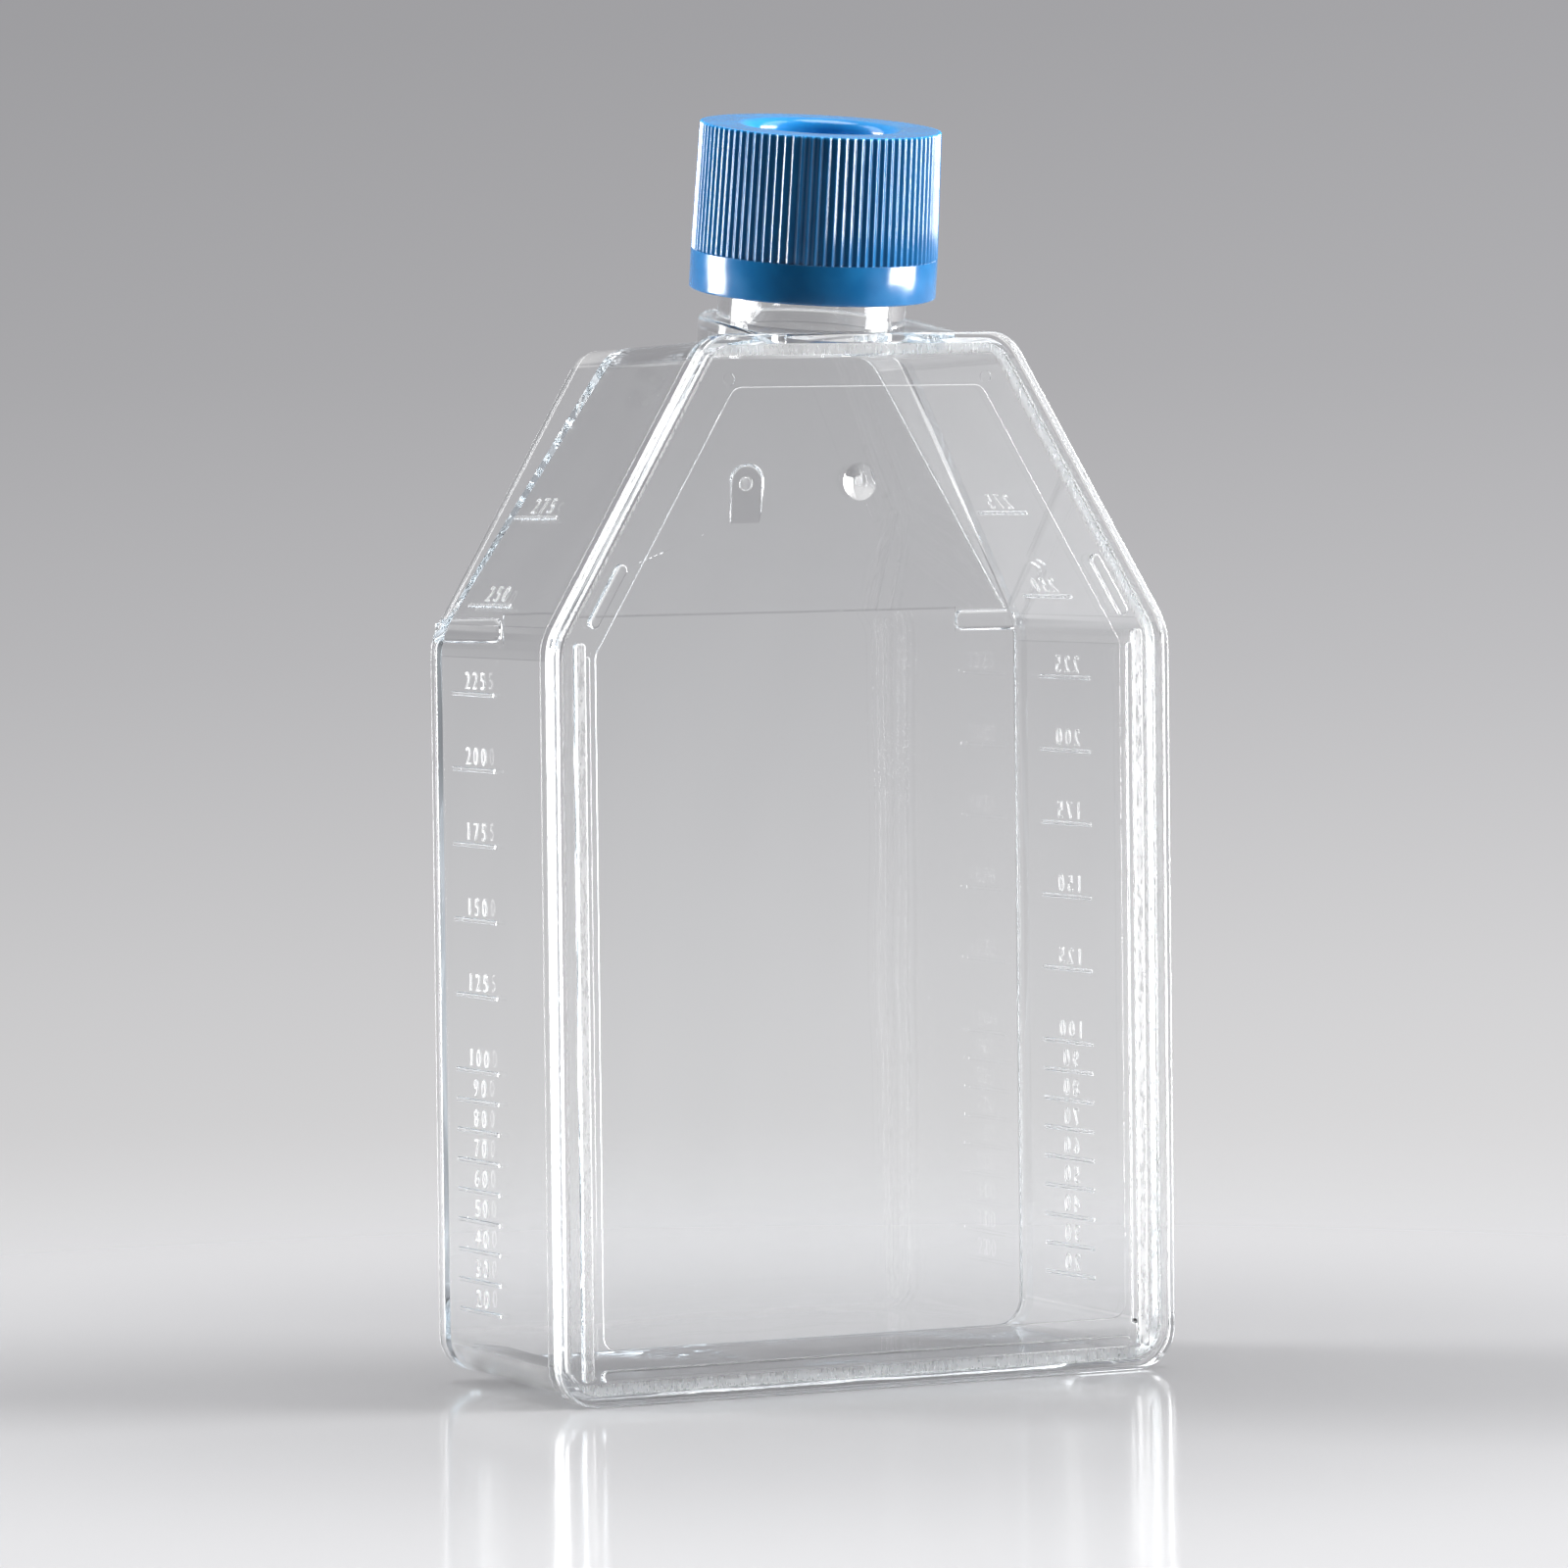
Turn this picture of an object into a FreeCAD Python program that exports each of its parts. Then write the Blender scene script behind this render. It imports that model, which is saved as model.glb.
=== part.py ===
import FreeCAD, Part
import Sketcher
import math, os

# Cell culture flask, 75 square centimetre class, canted neck, standing upright on its base.
# Frame: origin at the bottom centre of the standing flask, +Z up, cover plate facing -Y,
# growth wall facing +Y. Millimetres.

V = FreeCAD.Vector
doc = FreeCAD.newDocument("culture_flask")

# ---------------------------------------------------------------- driving dimensions
sheet = doc.addObject("Spreadsheet::Sheet", "dims")
DIMS = [
    # overall moulding
    ("body_width", 85.0), ("body_depth", 36.2), ("body_height", 128.2), ("front_face", -15.88),
    ("shoulder_height", 91.8), ("chamfer_angle", 59.0),
    ("rim_depth", 3.4), ("rim_overhang", 0.7), ("wall", 1.4),
    ("side_draft", 1.0), ("top_draft", 1.9),
    ("base_corner", 5.0), ("shoulder_corner", 8.0), ("top_corner", 5.0),
    # growth wall, ramp and the standing skirt round the back
    ("skirt_height", 1.2), ("skirt_inset", 2.5), ("growth_wall", 1.3),
    ("ramp_start", 93.5), ("ramp_outer_angle", 11.0), ("ramp_inner_angle", 13.0),
    ("step_low", 90.6), ("step_high", 93.9), ("step_proud", 0.15), ("step_half", 31.0),
    ("foot_low", 90.7), ("foot_high", 93.3), ("foot_inner", 31.3), ("foot_outer", 40.6),
    ("foot_corner", 1.0), ("foot_round", 0.45),
    # seat of the cover plate and the plate itself
    ("lip_width", 1.35), ("plate_sunk", 1.25), ("plate_thick", 1.35), ("plate_clear", 0.05), ("plate_lift", 0.02),
    ("rib_sunk", 0.5), ("rib_inset", 3.5), ("rib_width", 1.45),
    ("side_rib_top", 91.5), ("side_rib_low", 3.0), ("base_rib_low", 2.85), ("base_rib_half", 36.4),
    ("strip_width", 0.7), ("strip_sunk", 0.9), ("strip_low", 5.6), ("strip_high", 89.9),
    ("panel_inset", 6.4), ("panel_proud", 0.15), ("rib_round", 0.3), ("strip_round", 0.18), ("panel_edge", 0.12),
    ("dimple_height", 110.2), ("dimple_radius", 2.2), ("dimple_depth", 0.5),
    ("gate_radius", 0.55), ("gate_tall", 0.3), ("pin_radius", 0.75), ("pin_x", 17.6), ("pin_height", 122.7),
    ("pin_depth", 0.12),
    # neck
    ("neck_y", -2.98), ("neck_z", 133.2), ("neck_cant", 7.7),
    ("neck_radius", 11.5), ("neck_bore", 10.0), ("neck_lip", 19.0), ("neck_root", -13.0),
    ("bore_root", -12.0),
    # boss under the neck, square to the neck's axis: round at the back, straight sides running out at the front
    ("boss_radius", 13.77), ("boss_top", -3.33), ("boss_front", 12.88), ("boss_round", 0.4),
    ("boss_wall", 1.5), ("boss_core_front", 10.76),
    # graduations
    ("grad_twenty", 9.68), ("grad_step", 9.172), ("grad_back", 13.6), ("grad_length", 11.9),
    ("grad_width", 0.5), ("grad_proud", 0.24), ("grad_round", 0.16),
    # arch-shaped gate pad on the ramp: upright face, running out into the slope at its foot
    ("arch_half", 2.2), ("arch_low", 105.0), ("arch_high", 112.4), ("arch_reach", 1.6),
    ("arch_gate_height", 110.0), ("arch_gate_radius", 0.9), ("arch_gate_proud", 0.3),
    # cap
    ("cap_radius", 15.08), ("cap_top_radius", 14.75), ("cap_height", 20.4), ("cap_band", 4.86),
    ("cap_bore", 12.8), ("cap_roof", 19.1), ("cap_edge", 0.35),
    ("well_radius", 8.9), ("well_lip", 1.4), ("well_floor", 15.9),
    ("plug_radius", 9.92), ("plug_low", 14.8), ("cap_mouth_chamfer", 0.6),
    ("rib_count", 90.0), ("groove_radius", 0.42), ("groove_out", 0.10),
    ("window_inner", 1.7), ("window_outer", 6.0), ("window_angle", 44.0), ("window_count", 6.0),
    ("seat_radius", 7.2), ("seat_depth", 0.35),
    ("membrane_radius", 7.1), ("membrane_thick", 0.25), ("membrane_clear", 0.03),
]
for row, (alias, value) in enumerate(DIMS, start=1):
    sheet.set("A%d" % row, alias)
    sheet.set("B%d" % row, repr(value))
    sheet.setAlias("B%d" % row, alias)
doc.recompute()
D = dict(DIMS)


def plane_of(body, role):
    for feature in body.Origin.OriginFeatures:
        if feature.Role == role:
            return feature
    raise RuntimeError("no " + role)


def new_body(name):
    return doc.addObject("PartDesign::Body", name)


def new_sketch(body, name, role="XZ_Plane", z=None, x=None, y=None, angle=None, tilt=None):
    """A sketch flat on one of the body's own origin planes, moved by bound offsets."""
    sketch = body.newObject("Sketcher::SketchObject", name)
    sketch.AttachmentSupport = [(plane_of(body, role), "")]
    sketch.MapMode = "FlatFace"
    if angle is not None:
        sketch.AttachmentOffset = FreeCAD.Placement(V(0, 0, 0), FreeCAD.Rotation(V(0, 0, 1), 1.0))
        sketch.setExpression("AttachmentOffset.Rotation.Angle", angle)
    if tilt is not None:
        axis, value = tilt
        sketch.AttachmentOffset = FreeCAD.Placement(V(0, 0, 0), FreeCAD.Rotation(axis, 1.0))
        sketch.setExpression("AttachmentOffset.Rotation.Angle", value)
    for key, value in (("x", x), ("y", y), ("z", z)):
        if value is not None:
            sketch.setExpression("AttachmentOffset.Base." + key, value)
    return sketch


def add_polygon(sketch, points):
    """Closed run of lines; returns the index of the first one."""
    first = sketch.GeometryCount
    n = len(points)
    for i in range(n):
        a, b = points[i], points[(i + 1) % n]
        sketch.addGeometry(Part.LineSegment(V(a[0], a[1], 0), V(b[0], b[1], 0)), False)
    for i in range(n):
        sketch.addConstraint(Sketcher.Constraint("Coincident", first + i, 2, first + (i + 1) % n, 1))
    return first


def bind(sketch, kind, args, name, expression):
    """Add a dimension and bind it to the sheet."""
    value = {"DistanceX": 1.0, "DistanceY": 1.0, "Distance": 1.0, "Radius": 1.0, "Angle": 0.5}[kind]
    current = sketch_value(sketch, kind, args)
    index = sketch.addConstraint(Sketcher.Constraint(kind, *args, current if current is not None else value))
    sketch.renameConstraint(index, name)
    sketch.setExpression("Constraints." + name, expression)


def sketch_value(sketch, kind, args):
    """Present value of a dimension, so that adding it doesn't jump the geometry."""
    if kind in ("DistanceX", "DistanceY") and len(args) == 4:
        p = sketch.getPoint(args[0], args[1])
        q = sketch.getPoint(args[2], args[3])
        return (q.x - p.x) if kind == "DistanceX" else (q.y - p.y)
    if kind == "Radius":
        return sketch.Geometry[args[0]].Radius
    return None


# inset of the flask's outline: half width, base, shoulder and top at an inset e
def outline_numbers(e):
    slope = math.radians(D["chamfer_angle"])
    half = D["body_width"] / 2 - e
    base = e
    shoulder = D["shoulder_height"] - e * (1 / math.cos(slope) - math.tan(slope))
    top = D["body_height"] - e
    upper = half - (top - shoulder) / math.tan(slope)
    return half, base, shoulder, top, upper


def outline_sketch(body, name, inset, inset_value, y_expression):
    """The flask's six-sided outline, inset all round, on a plane facing -Y at the given y."""
    half, base, shoulder, top, upper = outline_numbers(inset_value)
    sketch = new_sketch(body, name, "XZ_Plane", z="-(" + y_expression + ")")
    add_polygon(sketch, [(-half, base), (half, base), (half, shoulder), (upper, top), (-upper, top), (-half, shoulder)])
    for a, b in ((0, 1), (2, 5), (3, 4)):
        sketch.addConstraint(Sketcher.Constraint("Symmetric", a, 1, b, 1, -2))
    sketch.addConstraint(Sketcher.Constraint("Vertical", 1))
    shoulder_x = "(dims.shoulder_height - (%s) * (1 / cos(dims.chamfer_angle * 1 deg) - tan(dims.chamfer_angle * 1 deg)))" % inset
    bind(sketch, "DistanceX", (0, 1, 1, 1), "wide", "dims.body_width - 2 * (%s)" % inset)
    bind(sketch, "DistanceY", (-1, 1, 1, 1), "base", inset)
    bind(sketch, "DistanceY", (-1, 1, 2, 1), "shoulder", shoulder_x)
    bind(sketch, "DistanceY", (-1, 1, 3, 1), "top", "dims.body_height - (%s)" % inset)
    bind(sketch, "DistanceX", (4, 1, 3, 1), "upper",
         "dims.body_width - 2 * (%s) - 2 * (dims.body_height - (%s) - %s) / tan(dims.chamfer_angle * 1 deg)" % (inset, inset, shoulder_x))
    return sketch


def long_edges(shape, where):
    """Names of the edges that run the whole depth of a prism at outline corners."""
    names = []
    depth = shape.BoundBox.YLength
    for i, edge in enumerate(shape.Edges):
        box = edge.BoundBox
        if box.YLength > 0.9 * depth and where(edge.CenterOfMass):
            names.append("Edge%d" % (i + 1))
    return names


def loop_edges(shape, y, tolerance=0.02):
    """Names of the edges that lie in the plane at the given y."""
    names = []
    for i, edge in enumerate(shape.Edges):
        box = edge.BoundBox
        if abs(box.YMin - y) < tolerance and abs(box.YMax - y) < tolerance:
            names.append("Edge%d" % (i + 1))
    return names


def outline_prism(name, inset, inset_value, y_from, depth, drafts=True, corner_loss=0.0, reverse=True):
    """A body: the inset outline padded along the depth, drafted for the mould, corners rounded."""
    body = new_body(name)
    sketch = outline_sketch(body, name + "_outline", inset, inset_value, y_from)
    pad = body.newObject("PartDesign::Pad", name + "_pad")
    pad.Profile = sketch
    pad.setExpression("Length", depth)
    pad.Reversed = reverse
    doc.recompute()
    last = pad
    if drafts:
        axis = plane_of(body, "Y_Axis")
        for step, angle in (("sides", "dims.side_draft"), ("crown", "dims.top_draft")):
            shape = last.Shape
            faces, neutral = [], []
            for i, face in enumerate(shape.Faces):
                n = face.normalAt(0, 0)
                if n.y < -0.99:
                    neutral.append("Face%d" % (i + 1))
                elif abs(n.y) < 0.2 and (n.z > 0.95) == (step == "crown"):
                    faces.append("Face%d" % (i + 1))
            draft = body.newObject("PartDesign::Draft", name + "_draft_" + step)
            draft.Base = (last, faces)
            draft.NeutralPlane = (last, neutral)
            draft.PullDirection = (axis, [""])
            draft.setExpression("Angle", angle)
            doc.recompute()
            draft.touch()
            doc.recompute()
            if len(draft.Shape.Faces) != len(shape.Faces):
                raise RuntimeError("%s has no faces" % draft.Name)
            last = draft
    top = D["body_height"]
    for corner, where, radius in (
            ("base", lambda c: c.z < 20, "dims.base_corner"),
            ("shoulder", lambda c: 20 < c.z < 110, "dims.shoulder_corner"),
            ("crown", lambda c: c.z > 110, "dims.top_corner")):
        fillet = body.newObject("PartDesign::Fillet", name + "_round_" + corner)
        fillet.Base = (last, long_edges(last.Shape, where))
        fillet.setExpression("Radius", "%s - %s" % (radius, corner_loss))
        doc.recompute()
        last = fillet
    return body, last


def round_loop(body, last, name, y, radius):
    fillet = body.newObject("PartDesign::Fillet", name)
    fillet.Base = (last, loop_edges(last.Shape, y))
    fillet.Radius = radius
    doc.recompute()
    return fillet


def combine(kind, name, objects):
    """Part boolean: Cut takes two objects, MultiFuse and MultiCommon a list."""
    result = doc.addObject("Part::" + kind, name)
    if kind == "Cut":
        result.Base, result.Tool = objects
    else:
        result.Shapes = objects
    doc.recompute()
    return result


def neck_frame(feature):
    """Places a feature in the frame of the canted neck: origin in the plane of the cap's mouth."""
    feature.Placement = FreeCAD.Placement(V(0, D["neck_y"], D["neck_z"]), FreeCAD.Rotation(V(1, 0, 0), D["neck_cant"]))
    feature.setExpression("Placement.Base.y", "dims.neck_y")
    feature.setExpression("Placement.Base.z", "dims.neck_z")
    feature.setExpression("Placement.Rotation.Angle", "dims.neck_cant")


front = D["front_face"]
rim_back = front + D["rim_depth"]
back = front + D["body_depth"]

# ---------------------------------------------------------------- flask body: outside
rim_body, rim_last = outline_prism("rim", "0", 0.0, "dims.front_face", "dims.rim_depth", drafts=False)
rim_last = round_loop(rim_body, rim_last, "rim_front_round", front, 0.4)
rim_last = round_loop(rim_body, rim_last, "rim_back_round", rim_back, 0.35)

tray_body, tray_last = outline_prism(
    "tray", "dims.rim_overhang", D["rim_overhang"], "dims.front_face + dims.rim_depth - 1",
    "dims.body_depth - dims.rim_depth + 1", corner_loss=0.5)
tray_last = round_loop(tray_body, tray_last, "tray_back_round", back, 0.45)

# neck, turned about the canted axis
neck = new_body("neck")
neck_sketch = new_sketch(neck, "neck_profile", "XZ_Plane")
add_polygon(neck_sketch, [(0, D["neck_root"]), (D["neck_radius"], D["neck_root"]), (D["neck_radius"], D["neck_lip"]), (0, D["neck_lip"])])
for line in (0, 2):
    neck_sketch.addConstraint(Sketcher.Constraint("Horizontal", line))
for line in (1, 3):
    neck_sketch.addConstraint(Sketcher.Constraint("Vertical", line))
neck_sketch.addConstraint(Sketcher.Constraint("PointOnObject", 0, 1, -2))
bind(neck_sketch, "DistanceY", (-1, 1, 0, 1), "root", "dims.neck_root")
bind(neck_sketch, "DistanceX", (-1, 1, 1, 1), "neck_radius", "dims.neck_radius")
bind(neck_sketch, "DistanceY", (-1, 1, 2, 1), "lip", "dims.neck_lip")
neck_turn = neck.newObject("PartDesign::Revolution", "neck_turn")
neck_turn.Profile = neck_sketch
neck_turn.ReferenceAxis = (neck_sketch, ["V_Axis"])
neck_turn.Angle = 360
doc.recompute()


def circle_edges(shape, radius, height):
    names = []
    for i, edge in enumerate(shape.Edges):
        if hasattr(edge.Curve, "Radius") and abs(edge.Curve.Radius - radius) < 1e-4 and abs(edge.Curve.Center.z - height) < 1e-4:
            names.append("Edge%d" % (i + 1))
    return names


neck_round = neck.newObject("PartDesign::Fillet", "neck_round")
neck_round.Base = (neck_turn, circle_edges(neck_turn.Shape, D["neck_radius"], D["neck_lip"]))
neck_round.Radius = 0.35
doc.recompute()
neck_frame(neck)


# boss under the neck and the hollow inside it, both U-shaped in plan: half a circle and two straight sides
def boss_prism(name, radius, radius_value, front, front_value, root, top):
    body = new_body(name)
    sketch = new_sketch(body, name + "_plan", "XY_Plane", z=root)
    r, f = radius_value, -front_value
    sketch.addGeometry(Part.ArcOfCircle(Part.Circle(V(0, 0, 0), V(0, 0, 1), r), 0, math.pi), False)
    sketch.addGeometry(Part.LineSegment(V(-r, 0, 0), V(-r, f, 0)), False)
    sketch.addGeometry(Part.LineSegment(V(-r, f, 0), V(r, f, 0)), False)
    sketch.addGeometry(Part.LineSegment(V(r, f, 0), V(r, 0, 0)), False)
    sketch.addConstraint(Sketcher.Constraint("Coincident", 0, 3, -1, 1))
    sketch.addConstraint(Sketcher.Constraint("Tangent", 0, 2, 1, 1))
    sketch.addConstraint(Sketcher.Constraint("Coincident", 1, 2, 2, 1))
    sketch.addConstraint(Sketcher.Constraint("Coincident", 2, 2, 3, 1))
    sketch.addConstraint(Sketcher.Constraint("Tangent", 3, 2, 0, 1))
    sketch.addConstraint(Sketcher.Constraint("Vertical", 1))
    sketch.addConstraint(Sketcher.Constraint("Horizontal", 2))
    bind(sketch, "Radius", (0,), "round", radius)
    bind(sketch, "DistanceY", (2, 1, -1, 1), "front", front)
    pad = body.newObject("PartDesign::Pad", name + "_pad")
    pad.Profile = sketch
    pad.setExpression("Length", "%s - (%s)" % (top, root))
    doc.recompute()
    return body, pad


boss, boss_pad = boss_prism("neck_boss", "dims.boss_radius", D["boss_radius"], "dims.boss_front", D["boss_front"],
                            "dims.neck_root", "dims.boss_top")
crest = []
for i, edge in enumerate(boss_pad.Shape.Edges):
    box, centre = edge.BoundBox, edge.CenterOfMass
    if abs(box.ZMin - D["boss_top"]) < 0.01 and abs(box.ZMax - D["boss_top"]) < 0.01 and centre.y > -D["boss_front"] + 0.5:
        crest.append("Edge%d" % (i + 1))
boss_round = boss.newObject("PartDesign::Fillet", "neck_boss_round")
boss_round.Base = (boss_pad, crest)
boss_round.setExpression("Radius", "dims.boss_round")
doc.recompute()
neck_frame(boss)

outside = combine("MultiFuse", "tray_outside", [rim_body, tray_body, neck, boss])

# ---------------------------------------------------------------- flask body: hollows
# profile across the depth: growth wall below, ramp above the shoulder
def depth_profile(name, points, constraints):
    body = new_body(name)
    sketch = new_sketch(body, name + "_profile", "YZ_Plane")
    add_polygon(sketch, points)
    for kind, args in constraints[0]:
        sketch.addConstraint(Sketcher.Constraint(kind, *args))
    for label, kind, args, expression in constraints[1]:
        bind(sketch, kind, args, label, expression)
    pad = body.newObject("PartDesign::Pad", name + "_pad")
    pad.Profile = sketch
    pad.Length = 120
    pad.Midplane = True
    doc.recompute()
    return body


high = 140.0
growth_inner = back - D["skirt_height"] - D["growth_wall"]
growth_outer = back - D["skirt_height"]
inner_top = growth_inner - (high - D["ramp_start"]) * math.tan(math.radians(D["ramp_inner_angle"]))
outer_top = growth_outer - (high - D["ramp_start"]) * math.tan(math.radians(D["ramp_outer_angle"]))
inner_at = "(dims.front_face + dims.body_depth - dims.skirt_height - dims.growth_wall)"
outer_at = "(dims.front_face + dims.body_depth - dims.skirt_height)"

inner_depth = depth_profile(
    "chamber_depth",
    [(front - 3, -5), (growth_inner, -5), (growth_inner, D["ramp_start"]), (inner_top, high), (front - 3, high)],
    ([("Horizontal", (0,)), ("Vertical", (1,)), ("Horizontal", (3,)), ("Vertical", (4,))],
     [("near", "DistanceX", (-1, 1, 0, 1), "dims.front_face - 3"),
      ("low", "DistanceY", (-1, 1, 0, 1), "-5"),
      ("deep", "DistanceX", (-1, 1, 1, 1), inner_at),
      ("bend", "DistanceY", (-1, 1, 2, 1), "dims.ramp_start"),
      ("high", "DistanceY", (-1, 1, 3, 1), "140"),
      ("ramp", "DistanceX", (-1, 1, 3, 1), inner_at + " - (140 - dims.ramp_start) * tan(dims.ramp_inner_angle * 1 deg)")]))

outer_depth = depth_profile(
    "recess_depth",
    [(growth_outer, -5), (back + 5, -5), (back + 5, high), (outer_top, high), (growth_outer, D["ramp_start"])],
    ([("Horizontal", (0,)), ("Vertical", (1,)), ("Horizontal", (2,)), ("Vertical", (4,))],
     [("near", "DistanceX", (-1, 1, 0, 1), outer_at),
      ("low", "DistanceY", (-1, 1, 0, 1), "-5"),
      ("deep", "DistanceX", (-1, 1, 1, 1), "dims.front_face + dims.body_depth + 5"),
      ("high", "DistanceY", (-1, 1, 2, 1), "140"),
      ("bend", "DistanceY", (-1, 1, 4, 1), "dims.ramp_start"),
      ("ramp", "DistanceX", (-1, 1, 3, 1), outer_at + " - (140 - dims.ramp_start) * tan(dims.ramp_outer_angle * 1 deg)")]))

# culture chamber: drafted core, cut off by the growth wall and the ramp
core_body, core_last = outline_prism(
    "chamber", "dims.rim_overhang + dims.wall", D["rim_overhang"] + D["wall"], "dims.front_face + dims.rim_depth - 4.5",
    "dims.body_depth + 3", corner_loss=1.4)
chamber = combine("MultiCommon", "chamber_core", [core_body, inner_depth])

# shallow seat for the cover plate inside the rim's lip
seat_body, seat_last = outline_prism(
    "seat", "dims.lip_width", D["lip_width"], "dims.front_face - 1",
    "dims.plate_sunk + dims.plate_thick + dims.plate_lift + 1", drafts=False, corner_loss=1.0)

# recess behind the growth wall and ramp, inside the standing skirt
recess_body, recess_last = outline_prism(
    "recess", "dims.skirt_inset", D["skirt_inset"], "dims.front_face + dims.body_depth - 16",
    "18", drafts=False, corner_loss=1.6)
recess = combine("MultiCommon", "recess_core", [recess_body, outer_depth])

# neck bore
bore = doc.addObject("Part::Cylinder", "neck_bore")
bore.setExpression("Radius", "dims.neck_bore")
bore.setExpression("Height", "dims.neck_lip - dims.bore_root + 3")
bore_angle = math.radians(D["neck_cant"])
bore.Placement = FreeCAD.Placement(V(0, 0, 0), FreeCAD.Rotation(V(1, 0, 0), D["neck_cant"]))
bore.setExpression("Placement.Rotation.Angle", "dims.neck_cant")
bore.setExpression("Placement.Base.y", "dims.neck_y - dims.bore_root * sin(dims.neck_cant * 1 deg)")
bore.setExpression("Placement.Base.z", "dims.neck_z + dims.bore_root * cos(dims.neck_cant * 1 deg)")
doc.recompute()

boss_core, boss_core_pad = boss_prism(
    "boss_hollow", "dims.boss_radius - dims.boss_wall", D["boss_radius"] - D["boss_wall"],
    "dims.boss_core_front", D["boss_core_front"], "dims.bore_root", "dims.boss_top - dims.boss_wall")
neck_frame(boss_core)
doc.recompute()

hollows = combine("MultiFuse", "tray_hollows", [chamber, seat_body, recess, bore, boss_core])
shell = combine("Cut", "tray_shell", (outside, hollows))

# ---------------------------------------------------------------- flask body: details on the back
# two stacking feet with rounded inner ends, level with the skirt, and the shallow step between them
feet = new_body("stacking_feet")
feet_sketch = new_sketch(feet, "feet_profile", "XZ_Plane", z="-(dims.front_face + dims.body_depth - dims.skirt_height - 0.3)")
for side, tag in ((1, "right"), (-1, "left")):
    x0, x1 = sorted((side * D["foot_inner"], side * D["foot_outer"]))
    g = add_polygon(feet_sketch, [(x0, D["foot_low"]), (x1, D["foot_low"]), (x1, D["foot_high"]), (x0, D["foot_high"])])
    feet_sketch.addConstraint(Sketcher.Constraint("Horizontal", g))
    feet_sketch.addConstraint(Sketcher.Constraint("Vertical", g + 1))
    feet_sketch.addConstraint(Sketcher.Constraint("Horizontal", g + 2))
    feet_sketch.addConstraint(Sketcher.Constraint("Vertical", g + 3))
    bind(feet_sketch, "DistanceY", (-1, 1, g, 1), "low_" + tag, "dims.foot_low")
    bind(feet_sketch, "DistanceY", (-1, 1, g + 2, 1), "high_" + tag, "dims.foot_high")
    near, far = ("dims.foot_inner", "dims.foot_outer") if side > 0 else ("-dims.foot_outer", "-dims.foot_inner")
    bind(feet_sketch, "DistanceX", (-1, 1, g, 1), "left_" + tag, near)
    bind(feet_sketch, "DistanceX", (-1, 1, g + 1, 1), "right_" + tag, far)
feet.AllowCompound = True
feet_pad = feet.newObject("PartDesign::Pad", "feet_pad")
feet_pad.Profile = feet_sketch
feet_pad.Reversed = True
feet_pad.setExpression("Length", "dims.skirt_height + 0.3 - 0.02")
doc.recompute()
corners = []
for i, edge in enumerate(feet_pad.Shape.Edges):
    box = edge.BoundBox
    if box.YLength > 1.0 and abs(abs(edge.CenterOfMass.x) - D["foot_inner"]) < 0.01:
        corners.append("Edge%d" % (i + 1))
feet_corners = feet.newObject("PartDesign::Fillet", "feet_corners")
feet_corners.Base = (feet_pad, corners)
feet_corners.setExpression("Radius", "dims.foot_corner")
doc.recompute()
feet_round = round_loop(feet, feet_corners, "feet_round", back - 0.02, D["foot_round"])

step = doc.addObject("Part::Box", "shoulder_step")
step.setExpression("Length", "2 * dims.step_half")
step.setExpression("Width", "dims.step_proud + 0.3")
step.setExpression("Height", "dims.step_high - dims.step_low")
step.setExpression("Placement.Base.x", "-dims.step_half")
step.setExpression("Placement.Base.y", "dims.front_face + dims.body_depth - dims.skirt_height - 0.3")
step.setExpression("Placement.Base.z", "dims.step_low")

# arch-shaped gate pad: its face stands upright where the ramp leans away, with the gate's nub on it
arch_y = "(" + outer_at + " - (dims.arch_low - dims.ramp_start) * tan(dims.ramp_outer_angle * 1 deg))"
arch_face = growth_outer - (D["arch_low"] - D["ramp_start"]) * math.tan(math.radians(D["ramp_outer_angle"]))
arch = new_body("gate_arch")
arch_sketch = new_sketch(arch, "arch_profile", "XZ_Plane", z="-" + arch_y)
half, low, spring = D["arch_half"], D["arch_low"] - 0.4, D["arch_high"] - D["arch_half"]
arch_sketch.addGeometry(Part.LineSegment(V(-half, low, 0), V(half, low, 0)), False)
arch_sketch.addGeometry(Part.LineSegment(V(half, low, 0), V(half, spring, 0)), False)
arch_sketch.addGeometry(Part.ArcOfCircle(Part.Circle(V(0, spring, 0), V(0, 0, 1), half), 0, math.pi), False)
arch_sketch.addGeometry(Part.LineSegment(V(-half, spring, 0), V(-half, low, 0)), False)
arch_sketch.addConstraint(Sketcher.Constraint("Coincident", 0, 2, 1, 1))
arch_sketch.addConstraint(Sketcher.Constraint("Tangent", 1, 2, 2, 1))
arch_sketch.addConstraint(Sketcher.Constraint("Tangent", 2, 2, 3, 1))
arch_sketch.addConstraint(Sketcher.Constraint("Coincident", 3, 2, 0, 1))
arch_sketch.addConstraint(Sketcher.Constraint("Horizontal", 0))
arch_sketch.addConstraint(Sketcher.Constraint("Vertical", 1))
arch_sketch.addConstraint(Sketcher.Constraint("PointOnObject", 2, 3, -2))
bind(arch_sketch, "DistanceX", (-1, 1, 1, 1), "half", "dims.arch_half")
bind(arch_sketch, "DistanceY", (-1, 1, 0, 1), "low", "dims.arch_low - 0.4")
bind(arch_sketch, "DistanceY", (-1, 1, 1, 2), "spring", "dims.arch_high - dims.arch_half")
arch_pad = arch.newObject("PartDesign::Pad", "arch_pad")
arch_pad.Profile = arch_sketch
arch_pad.setExpression("Length", "dims.arch_reach")
doc.recompute()
arch_round = round_loop(arch, arch_pad, "arch_round", arch_face, 0.3)
nub_sketch = new_sketch(arch, "nub_profile", "XZ_Plane", z="-(" + arch_y + " - 0.2)")
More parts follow.
